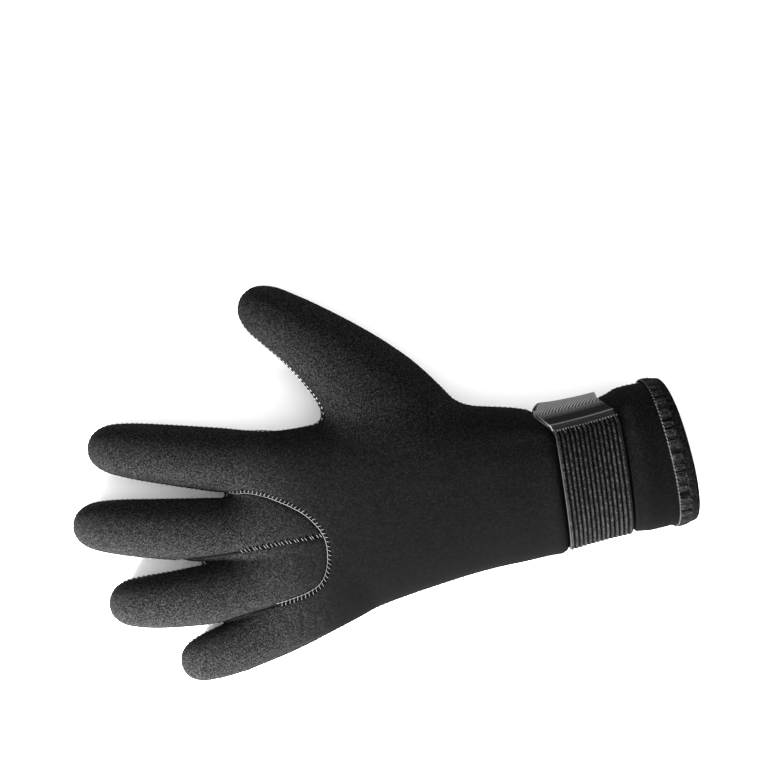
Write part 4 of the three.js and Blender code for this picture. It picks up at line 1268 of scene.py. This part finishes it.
def dent_mesh(name, groups, corners, over):
    """One mesh of many dents, laid on the skin. A dent is a low cone, whose rim lies just over the cloth."""
    points = np.concatenate(groups)
    flat, square = lay_on_skin(points.reshape(-1, 3), over)
    first = np.arange(corners)
    fan = np.stack([first, np.roll(first, -1), np.full(corners, corners)], 1)
    faces = repeated(fan, len(points), corners + 1)
    a, b, c = flat[faces[:, 0]], flat[faces[:, 1]], flat[faces[:, 2]]
    inwards = (np.cross(b - a, c - a) * square[faces[:, 0]]).sum(1) < 0
    faces = np.where(inwards[:, None], faces[:, ::-1], faces)
    return make_mesh(name, flat, faces)


print("a strand has", (STRAND_RINGS - 1) * STRAND_SIDES + 2, "faces")

# %% [markdown]
# ## Seam of the two inset fingers
# The U is sewn from the finger's side: a light thread lies along the seam as a thin cord, and crosses to
# small needle holes in the dark band outside it. Round the bend the cord shows whole; along the two legs it
# dips into the cloth at every stitch, so it breaks up there. The straight seam between the two fingers is
# sewn with wider stitches, whose dark teeth show on the middle finger's side. Threads are real tubes and
# not a picture, since they stand over the cloth and catch the low light. Their places wander a little, by
# seeded random numbers.

# %% Thread of the inset fingers
U_PITCH, TOOTH_PITCH, MIDDLE_PITCH = 1.9, 2.9, 1.75
WHOLE_FROM, WHOLE_TO, WHOLE_EASE = 0.22, 0.68, 0.05   # the stretch of the U where the cord shows whole
CORD_INSIDE, CORD_RADIUS, CORD_WAVE = 0.45, 0.12, 0.025
HOLE_CORNERS, TOOTH_CORNERS = 7, 5
TOOTH_OUTLINE = ((-1.25, 0.15), (1.15, 0.2), (0.65, 1.25), (0.15, 2.2), (-0.4, 1.25))   # mm along and across

square = unit(slope_of(glove_distance, insert_line))
along = unit(np.gradient(insert_line, axis=0))
across = np.cross(square, along)
outwards = across * side_of(SEAM_FIELDS["insert"], insert_line, across)
cord_line, cord_square = lay_on_skin(insert_line - CORD_INSIDE * outwards, CORD_RADIUS)
way = arc_length(cord_line)
share = way / way[-1]
whole = smooth_step((share - WHOLE_FROM) / WHOLE_EASE) * smooth_step((WHOLE_TO - share) / WHOLE_EASE)
broken = 0.2 + 0.6 * np.abs(np.sin(way * math.pi / U_PITCH))
cord_radius = CORD_RADIUS * (whole + (1 - whole) * broken) + CORD_WAVE * np.sin(way * 2 * math.pi / 1.1)
insert_cord = cord_mesh("insert_seam_cord", cord_line, cord_square, cord_radius)

point, along, across = places_along(insert_line, U_PITCH, 0.0, 0.15, 2)
outwards = across * side_of(SEAM_FIELDS["insert"], point, across)
reach = np.random.default_rng(3).uniform(0.95, 1.45, len(point))[:, None]
start, _ = lay_on_skin(point - 0.4 * outwards - 0.35 * along, 0.05)
end, square = lay_on_skin(point + reach * outwards + 0.35 * along, 0.02)
u_strands = strand_points(start, end, square, 0.10, 0.14)
u_holes = dent_points(point + 0.95 * outwards - 0.75 * along, along, outwards, 0.55, 0.42, HOLE_CORNERS)
share = np.linspace(0, 1, len(point))
legs = (share < WHOLE_FROM) | (share > WHOLE_TO)
finger_holes = dent_points((point - 0.95 * outwards + 0.3 * along)[legs], along[legs], outwards[legs],
                           0.45, 0.4, HOLE_CORNERS)

point, along, across = places_along(middle_line, MIDDLE_PITCH, 0.0, 0.45, 4)
to_middle = -across * side_of(SEAM_FIELDS["middle"], point, across)
reach = np.random.default_rng(5).uniform(0.8, 1.3, len(point))[:, None]
start, _ = lay_on_skin(point - 0.75 * to_middle - 0.45 * along, 0.05)
end, square = lay_on_skin(point + reach * to_middle + 0.45 * along, 0.02)
middle_strands = strand_points(start, end, square, 0.11, 0.18)
point, along, across = places_along(middle_line, TOOTH_PITCH, 0.0, 0.1, 6)
to_middle = -across * side_of(SEAM_FIELDS["middle"], point, across)
outline = [point + a * along + b * to_middle for a, b in TOOTH_OUTLINE]
teeth = np.stack(outline + [point + 0.05 * along + 0.75 * to_middle], axis=1)

insert_threads = strand_mesh("insert_seam_threads", [u_strands, middle_strands])
insert_holes = dent_mesh("insert_needle_holes", [u_holes, finger_holes], HOLE_CORNERS, 0.035)
middle_teeth = dent_mesh("middle_seam_teeth", [teeth], TOOTH_CORNERS, 0.04)
print(len(u_strands), "stitches in the U,", len(middle_strands), "between the fingers")

# %% [markdown]
# ## Side seam
# Back and palm are sewn edge to edge all the way round. The stitch shows as short light dashes on both
# sides of the seam, with a dark needle hole between two dashes. One loop makes both rows, as the same
# stitch mirrored.

# %% Thread of the side seam
SIDE_PITCH, DASH, DASH_RADIUS = 2.2, 1.15, 0.16
SIDE_HOLE_CORNERS = 6
SIDE_ROWS = ((1, 1.7), (-1, 0.95))       # back and palm side, millimetres from the seam

point, along, across = places_along(side_seam_line, SIDE_PITCH, 0.0, 0.1, 7)
to_back = across * side_of(SEAM_FIELDS["side"], point, across)
dashes, holes = [], []
for row, away in SIDE_ROWS:
    place = point + row * away * to_back + 0.25 * row * along
    start, _ = lay_on_skin(place - DASH / 2 * along, 0.04)
    end, square = lay_on_skin(place + DASH / 2 * along + 0.12 * row * to_back, 0.04)
    dashes.append(strand_points(start, end, square, DASH_RADIUS, 0.12))
    between = place + SIDE_PITCH / 2 * along - 0.25 * row * to_back
    holes.append(dent_points(between, along, to_back, 0.42, 0.36, SIDE_HOLE_CORNERS))
side_threads = strand_mesh("side_seam_threads", dashes)
side_holes = dent_mesh("side_needle_holes", holes, SIDE_HOLE_CORNERS, 0.03)
print(2 * len(point), "dashes round the glove")

# %% [markdown]
# ## Thread of the tab and the hem
# The tab's folded end is sewn down with a close zigzag, with a few stray ends. The hem has a line of small
# stitches along its inner edge, and a looped thread over each rung of the ladder. Both lie over the cuff,
# so their ends are given as station, turn and height there, and not as places on the skin.

# %% Thread on the cuff
ZIGZAG_PITCH, ZIGZAG_RADIUS, ZIGZAG_STEP = 1.25, 0.13, 0.55
STRAY_ENDS = 5
HEM_STITCH, HEM_STITCH_LENGTH = 1.7, 1.15
LOOP_HALF = 0.8                          # half the width of a loop of the ladder


def cuff_strands(station0, turn0, out0, station1, turn1, out1, radius, rise):
    """Strands over the cuff, each from one station, turn and height to another."""
    start, end = cuff_point(station0, turn0, out0), cuff_point(station1, turn1, out1)
    station, turn = (np.asarray(station0) + station1) / 2, (np.asarray(turn0) + turn1) / 2
    square = unit(cuff_point(station, turn, 3.0) - cuff_point(station, turn, 0.0))
    return strand_points(start, end, square, radius, rise)


def hem_turn_of(way):
    """Turn round the mouth at a length round the hem."""
    whole_way, whole_turn = np.append(hem_way, hem_length), np.append(hem_turn, 2 * math.pi)
    return np.interp(np.mod(way, hem_length), whole_way, whole_turn)


turn_per_mm = math.radians(abs(TAB_START - TAB_END)) / tab_length
sewn = np.arange(0.7, STRAP_WIDTH - 0.5, ZIGZAG_PITCH)
loose = np.random.default_rng(8)
jitter = loose.uniform(-0.15, 0.15, (2, len(sewn)))
left = STRAP_PLACE - STRAP_WIDTH / 2 + sewn
fold_turn = math.radians(TAB_START)
over_fold = tape_face + TAPE + 0.25
lower = fold_turn + (0.55 + jitter[0]) * turn_per_mm
upper = fold_turn - (1.15 + jitter[1]) * turn_per_mm
sunk = strap_face - 0.1
right = left + ZIGZAG_STEP
zigzag = [
    cuff_strands(left, lower, sunk, right, upper, over_fold, ZIGZAG_RADIUS, 0.2),
    cuff_strands(right, upper, over_fold, left + ZIGZAG_PITCH, lower, sunk, ZIGZAG_RADIUS, 0.2),
]
stray = loose.choice(len(sewn), STRAY_ENDS, replace=False)
stray_to = left[stray] + loose.uniform(-0.4, 0.4, STRAY_ENDS)
stray_turn = lower[stray] + loose.uniform(0.8, 2.0, STRAY_ENDS) * turn_per_mm
zigzag.append(cuff_strands(left[stray], lower[stray], strap_face, stray_to, stray_turn, tape_face, 0.09, 0.2))
tab_threads = strand_mesh("tab_threads", zigzag)

loose_loops = np.random.default_rng(9)
row = np.arange(0, hem_length - HEM_STITCH / 2, HEM_STITCH)
inner_edge = CUFF_LENGTH - HEM_WIDTH
hem_turn_per_mm = 2 * math.pi / hem_length
from_turn = hem_turn_of(row)
to_turn = from_turn + HEM_STITCH_LENGTH * hem_turn_per_mm
stitch_line = cuff_strands(inner_edge + 0.1, from_turn, SEAT_GAP + 0.35,
                           inner_edge + 0.45, to_turn, SEAT_GAP + 0.75, 0.12, 0.2)
rung_phase = np.arange(loops)
rung_way = (rung_phase - ladder_wander(rung_phase)) * hem_length / loops
loop_end = CUFF_LENGTH - LADDER_END - 1.0
rungs = []
for side in (-1, 1):
    leg = rung_way + side * LOOP_HALF + loose_loops.uniform(-0.35, 0.35, loops)
    rungs.append(cuff_strands(inner_edge + 0.5, hem_turn_of(leg + 0.25 * side), hem_outer + 0.05,
                              loop_end, hem_turn_of(leg), hem_outer + 0.2, 0.17, 0.12))
rung_turn, swing = hem_turn_of(rung_way), LOOP_HALF * hem_turn_per_mm
rungs.append(cuff_strands(loop_end, rung_turn - swing, hem_outer + 0.3,
                          loop_end, rung_turn + swing, hem_outer + 0.2, 0.15, 0.15))
hem_threads = strand_mesh("hem_threads", [stitch_line])
hem_loops = strand_mesh("hem_loops", rungs)
print(2 * len(sewn), "zigzag stitches,", len(row), "hem stitches,", 3 * loops, "loop strands")

# %% [markdown]
# ## Grip pads of the palm
# The palm is printed with raised hexagons of glossy rubber, set in rows with every second row shifted by
# half a pitch. Each pad is a low hexagon with a bevelled rim. Its points are placed round the pad's middle
# in the plane that touches the skin there, and then drawn onto the skin, so that pads follow the palm and
# the fingers.

# %% Pads
PAD_PITCH, PAD_RADIUS = 6.2, 2.45
PAD_RINGS = ((0.0, -0.15), (0.0, 0.2), (0.45, 0.38), (1.0, 0.40), (1.7, 0.36))   # inset and height, mm
PAD_EDGE_ROOM, PAD_STRAP_ROOM = 3.4, 7.0   # pads stop this far from the side seam and from the strap
PAD_FACING = -0.45                       # and where the skin no longer faces the table


def pad_centres():
    """Middles of the pads on the palm: a hexagonal lattice in plan, lifted onto the underside."""
    rows = np.arange(PLAN_LOW[1], PLAN_HIGH[1], PAD_PITCH * math.sqrt(3) / 2)
    columns = np.arange(-HAND_LENGTH - 75.0, CUFF_LENGTH - 34.0, PAD_PITCH)
    x, y = np.meshgrid(columns, rows)
    x = (x + PAD_PITCH / 2 * (np.arange(len(rows)) % 2)[:, None]).ravel()
    y = y.ravel()
    level = seam_height(x, y)
    inside = glove_distance(x, y, level) < -2.0
    plan, level = np.stack([x, y], 1)[inside], level[inside]
    centre = lift_onto(plan, level, -1.0)
    square = unit(slope_of(glove_distance, centre))
    gap = seam_gaps(centre, square)["side"]
    keep = (gap < -PAD_EDGE_ROOM) & (square[:, 2] < PAD_FACING)
    keep &= hand_station(*centre.T) < STRAP_PLACE - STRAP_WIDTH / 2 - PAD_STRAP_ROOM
    return centre[keep], square[keep]


centre, square = pad_centres()
side = unit(np.cross(square, np.array([0.0, 1.0, 0.0])))
other = np.cross(square, side)
corner = ((np.arange(6) + 0.5) * math.pi / 3)[None, :, None]
spoke = np.cos(corner) * side[:, None] + np.sin(corner) * other[:, None]
rings = []
for inset, height in PAD_RINGS:
    ring = centre[:, None] + (PAD_RADIUS - inset) * spoke
    flat = draw_onto_skin(ring.reshape(-1, 3), 2)
    normal = unit(slope_of(glove_distance, flat))
    rings.append((flat + (height - PAD_HEIGHT) * normal).reshape(ring.shape))
pad_points = np.stack(rings, axis=1)
each = len(PAD_RINGS) * 6
pad_sides, pad_caps = capped_tube(pad_points[0].reshape(-1, 3), len(PAD_RINGS), 6)
pad_faces = [repeated(faces, len(centre), each) for faces in (pad_sides, pad_caps[1:])]
pads = make_mesh("grip_pads", pad_points.reshape(-1, 3), pad_faces, smooth=False)
print(len(centre), "pads on the palm")

# %% [markdown]
# ## Materials
# Nylon jersey over foam rubber is nearly black, with a grey bloom where light grazes its short fibres. That
# bloom is painted light: a share of light speckle, full on the fingers and the thumb, less on hand and cuff.
# Single stitches of the knit catch the light and make fine speckles, which is the heathered look. All the
# cloths share one grain, so it is a node group, and each material gives it its own count of stitches.
# Patterns that follow a piece, such as ribs and twill, read the millimetres across and along it that its
# mesh carries.

# %% Grain, shared by all the cloths
def node_group(name, inputs, outputs):
    """Empty group of shader nodes with number inputs and outputs; inputs give their standing values."""
    group = bpy.data.node_groups.new(name, "ShaderNodeTree")
    for label, value in inputs:
        socket = group.interface.new_socket(label, in_out="INPUT", socket_type="NodeSocketFloat")
        socket.default_value = value
    for label in outputs:
        group.interface.new_socket(label, in_out="OUTPUT", socket_type="NodeSocketFloat")
    return group, group.nodes.new("NodeGroupInput"), group.nodes.new("NodeGroupOutput")


def math_node(tree, operation, a, b=None, clamp=False):
    """A math node; a and b are sockets or numbers."""
    node = tree.nodes.new("ShaderNodeMath")
    node.operation = operation
    node.use_clamp = clamp
    for socket, value in zip(node.inputs, (a, b)):
        if isinstance(value, bpy.types.NodeSocket):
            tree.links.new(value, socket)
        elif value is not None:
            socket.default_value = value
    return node.outputs[0]


def noise_node(tree, scale, detail, roughness):
    """Noise over the object's own coordinates; the scale is a socket or a number, per metre."""
    place = tree.nodes.new("ShaderNodeTexCoord")
    noise = tree.nodes.new("ShaderNodeTexNoise")
    tree.links.new(place.outputs["Object"], noise.inputs["Vector"])
    if isinstance(scale, bpy.types.NodeSocket):
        tree.links.new(scale, noise.inputs["Scale"])
    else:
        noise.inputs["Scale"].default_value = scale
    noise.inputs["Detail"].default_value = detail
    noise.inputs["Roughness"].default_value = roughness
    return noise.outputs["Fac"]


def scaled(tree, value, by, plus):
    """The value times one number, plus another."""
    return math_node(tree, "ADD", math_node(tree, "MULTIPLY", value, by), plus)


def fading(tree, distance, reach):
    """1 at nought, falling straight to 0 at the reach."""
    return math_node(tree, "SUBTRACT", 1.0, math_node(tree, "DIVIDE", distance, reach), clamp=True)


def wave(tree, value, pitch):
    """Sine of the value, one wave to a pitch."""
    return math_node(tree, "SINE", math_node(tree, "MULTIPLY", value, 2 * math.pi / pitch))


def steps_between(tree, value, low, high):
    """0 below low, 1 above high, straight between them."""
    node = tree.nodes.new("ShaderNodeMapRange")
    tree.links.new(value, node.inputs["Value"])
    for label, number in (("From Min", low), ("From Max", high), ("To Min", 0.0), ("To Max", 1.0)):
        node.inputs[label].default_value = number
    return node.outputs["Result"]


grain, grain_in, grain_out = node_group("knit_grain", [("Stitches per metre", 1300.0)], ["Speckle", "Height"])
fine = noise_node(grain, grain_in.outputs[0], 2.0, 0.6)
coarse_scale = math_node(grain, "MULTIPLY", grain_in.outputs[0], 0.45)
coarse = noise_node(grain, coarse_scale, 3.0, 0.7)
both = scaled(grain, fine, 0.62, math_node(grain, "MULTIPLY", coarse, 0.38))
grain.links.new(steps_between(grain, both, 0.46, 0.68), grain_out.inputs["Speckle"])
grain.links.new(fine, grain_out.inputs["Height"])


def new_material(name):
    """Material with a Principled surface; gives the material, its tree and that node."""
    material = bpy.data.materials.new(name)
    material.use_nodes = True
    tree = material.node_tree
    return material, tree, tree.nodes["Principled BSDF"]


def grey(value):
    """A neutral colour."""
    return (value, value, value * 1.02, 1.0)


def mix_colours(tree, share, low, high):
    """Colour between two, each a socket or a grey number, by a share."""
    node = tree.nodes.new("ShaderNodeMix")
    node.data_type = "RGBA"
    tree.links.new(share, node.inputs["Factor"])
    for socket, value in ((node.inputs[6], low), (node.inputs[7], high)):
        if isinstance(value, bpy.types.NodeSocket):
            tree.links.new(value, socket)
        else:
            socket.default_value = grey(value)
    return node.outputs[2]


def add_bump(tree, shader, height, distance, strength=1.0):
    """Bump in front of any that the shader has already."""
    bump = tree.nodes.new("ShaderNodeBump")
    bump.inputs["Strength"].default_value = strength
    bump.inputs["Distance"].default_value = distance
    tree.links.new(height, bump.inputs["Height"])
    if shader.inputs["Normal"].links:
        tree.links.new(shader.inputs["Normal"].links[0].from_socket, bump.inputs["Normal"])
    tree.links.new(bump.outputs["Normal"], shader.inputs["Normal"])


def attribute(tree, name):
    """A vertex value of the piece."""
    node = tree.nodes.new("ShaderNodeAttribute")
    node.attribute_name = name
    return node.outputs["Fac"]


def near_seams(tree, names, width):
    """1 on a seam, falling to 0 at a distance from it."""
    shade = None
    for name in names:
        here = fading(tree, math_node(tree, "ABSOLUTE", attribute(tree, name + "_seam")), width)
        shade = here if shade is None else math_node(tree, "MAXIMUM", shade, here)
    return shade


def knit_material(name, dark, light, stitches, bump, sheen, roughness=0.9, specular=0.008, seams=(),
                  pattern=None):
    """Knitted cloth: dark ground with light speckles, a fine bump, and sheen at grazing light. It is darker
    along its seams, and a piece with seams scales its speckle by its painted light share. A pattern gets the
    tree and the speckle, and gives the share of light colour."""
    material, tree, shader = new_material(name)
    knit = tree.nodes.new("ShaderNodeGroup")
    knit.node_tree = grain
    knit.inputs[0].default_value = stitches
    share = knit.outputs["Speckle"]
    if pattern:
        share = pattern(tree, share)
    # Painted light: a piece with seams scales its speckle by its painted light share.
    if seams:
        share = math_node(tree, "MULTIPLY", share, attribute(tree, "painted_light_share"))
    colour = mix_colours(tree, share, dark, light)
    if seams:
        colour = mix_colours(tree, near_seams(tree, seams, SEAM_SHADE), colour, SEAM_DARK)
    tree.links.new(colour, shader.inputs["Base Color"])
    shader.inputs["Roughness"].default_value = roughness
    shader.inputs["Specular IOR Level"].default_value = specular
    shader.inputs["Sheen Weight"].default_value = sheen
    shader.inputs["Sheen Roughness"].default_value = 0.5
    add_bump(tree, shader, knit.outputs["Height"], bump * MM)
    return material


def plain_material(name, value, roughness, specular=0.3):
    """One grey, without a pattern."""
    material, tree, shader = new_material(name)
    shader.inputs["Base Color"].default_value = grey(value)
    shader.inputs["Roughness"].default_value = roughness
    shader.inputs["Specular IOR Level"].default_value = specular
    return material


def rib_pattern(tree, speckle):
    """Painted highlight on the ribs' tops and painted shade in the grooves, broken by the knit's loops, and
    light selvedges.
    """
    across = attribute(tree, "across")
    # Painted highlight on the ribs' tops; the grooves stay dark as painted shade.
    painted_rib_light = math_node(tree, "POWER", math_node(tree, "ABSOLUTE", wave(tree, across, 2 * rib_pitch)), 3.0)
    painted_light = math_node(tree, "MULTIPLY", painted_rib_light, scaled(tree, speckle, 1.2, 0.1))
    turns = math_node(tree, "ADD", math_node(tree, "DIVIDE", attribute(tree, "round"), LOOP_LENGTH),
                      math_node(tree, "DIVIDE", across, rib_pitch))
    painted_light = math_node(tree, "MULTIPLY", painted_light, scaled(tree, wave(tree, turns, 1.0), 0.35, 0.65))
    from_edge = math_node(tree, "MINIMUM", across, math_node(tree, "SUBTRACT", STRAP_WIDTH, across))
    selvedge = fading(tree, from_edge, SELVEDGE)
    return math_node(tree, "MAXIMUM", painted_light, math_node(tree, "MULTIPLY", selvedge, 0.45))


def binding_pattern(tree, speckle):
    """Lighter on the ladder's rungs, with painted shade in its hollows, dull on the smooth edge."""
    raised = scaled(tree, attribute(tree, "ladder"), 0.7, 0.3)
    # Painted shade: the ladder's hollows go black.
    outside_painted_shade = math_node(tree, "SUBTRACT", 1.0, attribute(tree, "hollow"), clamp=True)
    return math_node(tree, "MULTIPLY", speckle, math_node(tree, "MULTIPLY", raised, outside_painted_shade))


def twill_pattern(tree, speckle):
    """Diagonal lines of twill that turn back half way, with painted shade towards the sewn end and a painted
    highlight on the fold, and light on the rim."""
    across, way = attribute(tree, "across"), attribute(tree, "round")
    from_turn = math_node(tree, "ABSOLUTE", math_node(tree, "SUBTRACT", way, TWILL_TURN))
    slant = math_node(tree, "SUBTRACT", from_turn, math_node(tree, "MULTIPLY", across, TWILL_SLANT))
    line = scaled(tree, wave(tree, slant, TWILL_PITCH), 0.45, 0.5)
    worn = math_node(tree, "MULTIPLY", line, scaled(tree, speckle, 0.5, 0.6))
    painted_light = scaled(tree, steps_between(tree, way, *TAPE_PAINTED_LIGHT), 0.96, 0.04)
    from_fold = math_node(tree, "ABSOLUTE", math_node(tree, "SUBTRACT", way, FOLD_PLACE))
    # Painted highlight along the folded ridge.
    painted_fold_highlight = math_node(tree, "MULTIPLY", fading(tree, from_fold, 0.45), 0.35)
    rim = math_node(tree, "MULTIPLY", fading(tree, across, TAPE_RIM), 0.34)
    body_share = math_node(tree, "MULTIPLY", worn, painted_light)
    return math_node(tree, "MAXIMUM", body_share, math_node(tree, "MAXIMUM", painted_fold_highlight, rim))


SEAM_SHADE, SEAM_DARK = 1.25, 0.001      # width of the dark line along a seam, mm, and its grey
LOOP_LENGTH, SELVEDGE = 1.1, 0.5         # the elastic's loops and its selvedge, mm
TWILL_PITCH, TWILL_SLANT, TWILL_TURN = 1.65, 1.1, 10.0
# Painted light: the tape is darkened near its sewn end and turns light from these places on.
TAPE_PAINTED_LIGHT, TAPE_RIM = (6.5, 13.0), 0.6    # where the tape turns light, mm from its sewn end, and its rim
BACK_SEAMS = ("side", "insert", "middle")

jersey = knit_material("nylon jersey", 0.0013, 0.0186, 2300.0, 0.3, 0.002, seams=BACK_SEAMS)
insert_jersey = knit_material("jersey of the inset fingers", 0.0015, 0.0188, 2300.0, 0.3, 0.003,
                              seams=BACK_SEAMS)
palm_ground = knit_material("printed palm ground", 0.002, 0.007, 1700.0, 0.3, 0.012, 0.6, 0.12,
                            seams=("side",))
elastic = knit_material("knitted elastic", 0.0012, 0.055, 1500.0, 0.5, 0.005, pattern=rib_pattern)
tape = knit_material("hook tape", 0.0015, 0.23, 1500.0, 0.2, 0.004, 0.7, 0.03, pattern=twill_pattern)
binding = knit_material("hem binding", 0.0008, 0.040, 1900.0, 0.3, 0.005, pattern=binding_pattern)
thread = plain_material("light thread", 0.085, 0.7, 0.1)
# Painted light: the side seam's thread is lighter than the other light thread, lifting it out of the shade on
# the glove's sides.
lightened_side_thread = plain_material("side seam thread", 0.26, 0.7, 0.1)
hem_thread = plain_material("hem thread", 0.10, 0.7, 0.1)
dull_thread = plain_material("binding thread", 0.010, 0.8, 0.05)
# Painted shade: needle holes and the middle seam's teeth are black patches laid just over the cloth.
dent_shade = plain_material("needle hole", 0.0006, 1.0, 0.0)
pad_rubber = plain_material("glossy grip rubber", 0.004, 0.22, 0.4)
for piece, material in (
    (panels["back_panel"], jersey), (panels["middle_finger_back"], insert_jersey),
    (panels["ring_finger_back"], insert_jersey), (panels["palm_panel"], palm_ground),
    (strap, elastic), (tab, tape), (under_tab, tape), (hem, binding), (pads, pad_rubber),
    (insert_cord, thread), (insert_threads, thread), (insert_holes, dent_shade), (middle_teeth, dent_shade),
    (side_threads, lightened_side_thread), (side_holes, dent_shade), (tab_threads, thread), (hem_threads, hem_thread),
    (hem_loops, dull_thread),
):
    piece.data.materials.append(material)
print(len(bpy.data.materials), "materials")

# %% [markdown]
# ## Floor and light
# The glove lies on a plain pale table. A low soft light from the side of the wrist's heel grazes the
# fingers' lower sides and leaves their upper edges nearly black, and an even light from all round fills the
# rest. The plain view transform keeps the greys of cloth and table as they are set.

# %% Floor and lights
FLOOR_SIZE, FLOOR_GREY = 6.0, 0.86
EVEN_LIGHT = 1.95
KEY_FROM = (-0.75, -0.66)
KEY_HEIGHT, KEY_AWAY, KEY_SIZE, KEY_POWER = 0.14, 0.46, 0.22, 40.0


def soft_light(name, place, size, power):
    """Square soft light aimed at the part's origin."""
    light = bpy.data.lights.new(name, "AREA")
    light.size = size
    light.energy = power
    lamp = bpy.data.objects.new(name, light)
    lamp.location = place
    x, y, z = place
    lamp.rotation_euler = (math.atan2(math.hypot(x, y), z), 0.0, math.atan2(x, -y))
    bpy.context.scene.collection.objects.link(lamp)
    return lamp


half_floor = FLOOR_SIZE / 2 / MM
floor_corners = np.array([[-1, -1, 0], [1, -1, 0], [1, 1, 0], [-1, 1, 0]]) * half_floor - crease_place
floor = make_mesh("table", floor_corners, np.array([[0, 1, 2, 3]]), smooth=False)
floor_material, _, floor_shader = new_material("pale table")
floor_shader.inputs["Base Color"].default_value = (FLOOR_GREY, FLOOR_GREY, FLOOR_GREY, 1.0)
floor_shader.inputs["Roughness"].default_value = 0.9
floor_shader.inputs["Specular IOR Level"].default_value = 0.1
floor.data.materials.append(floor_material)

soft_light("key", (KEY_FROM[0] * KEY_AWAY, KEY_FROM[1] * KEY_AWAY, KEY_HEIGHT), KEY_SIZE, KEY_POWER)
world = bpy.data.worlds.new("studio")
world.use_nodes = True
background = world.node_tree.nodes["Background"]
background.inputs["Color"].default_value = (1.0, 1.0, 1.0, 1.0)
background.inputs["Strength"].default_value = EVEN_LIGHT
print("one soft light of", KEY_POWER, "W, and an even light of", EVEN_LIGHT)
bpy.context.scene.world = world
bpy.context.scene.view_settings.view_transform = "Standard"

# %% [markdown]
# ## What stands for what
# A piece takes the place of the one solid of the imported model that it hides, where there is one, and
# rides on the root.

def declare(piece, nodes=()):
    """The piece rides on the root body and stands for the nodes, which are hidden."""
    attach(piece, "root")
    for node in nodes:
        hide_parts(node)


declare(panels["back_panel"], ["back_panel"])
declare(panels["middle_finger_back"], ["middle_finger_back"])
declare(panels["ring_finger_back"], ["ring_finger_back"])
declare(panels["palm_panel"], ["palm_panel"])
declare(strap, ["wrist_strap"])
declare(tab, ["strap_tab"])
declare(under_tab)
declare(hem, ["cuff_hem"])
declare(pads)
for piece in (insert_cord, insert_threads, insert_holes, middle_teeth):
    declare(piece)
for piece in (side_threads, side_holes):
    declare(piece)
declare(tab_threads)
for piece in (hem_threads, hem_loops):
    declare(piece)
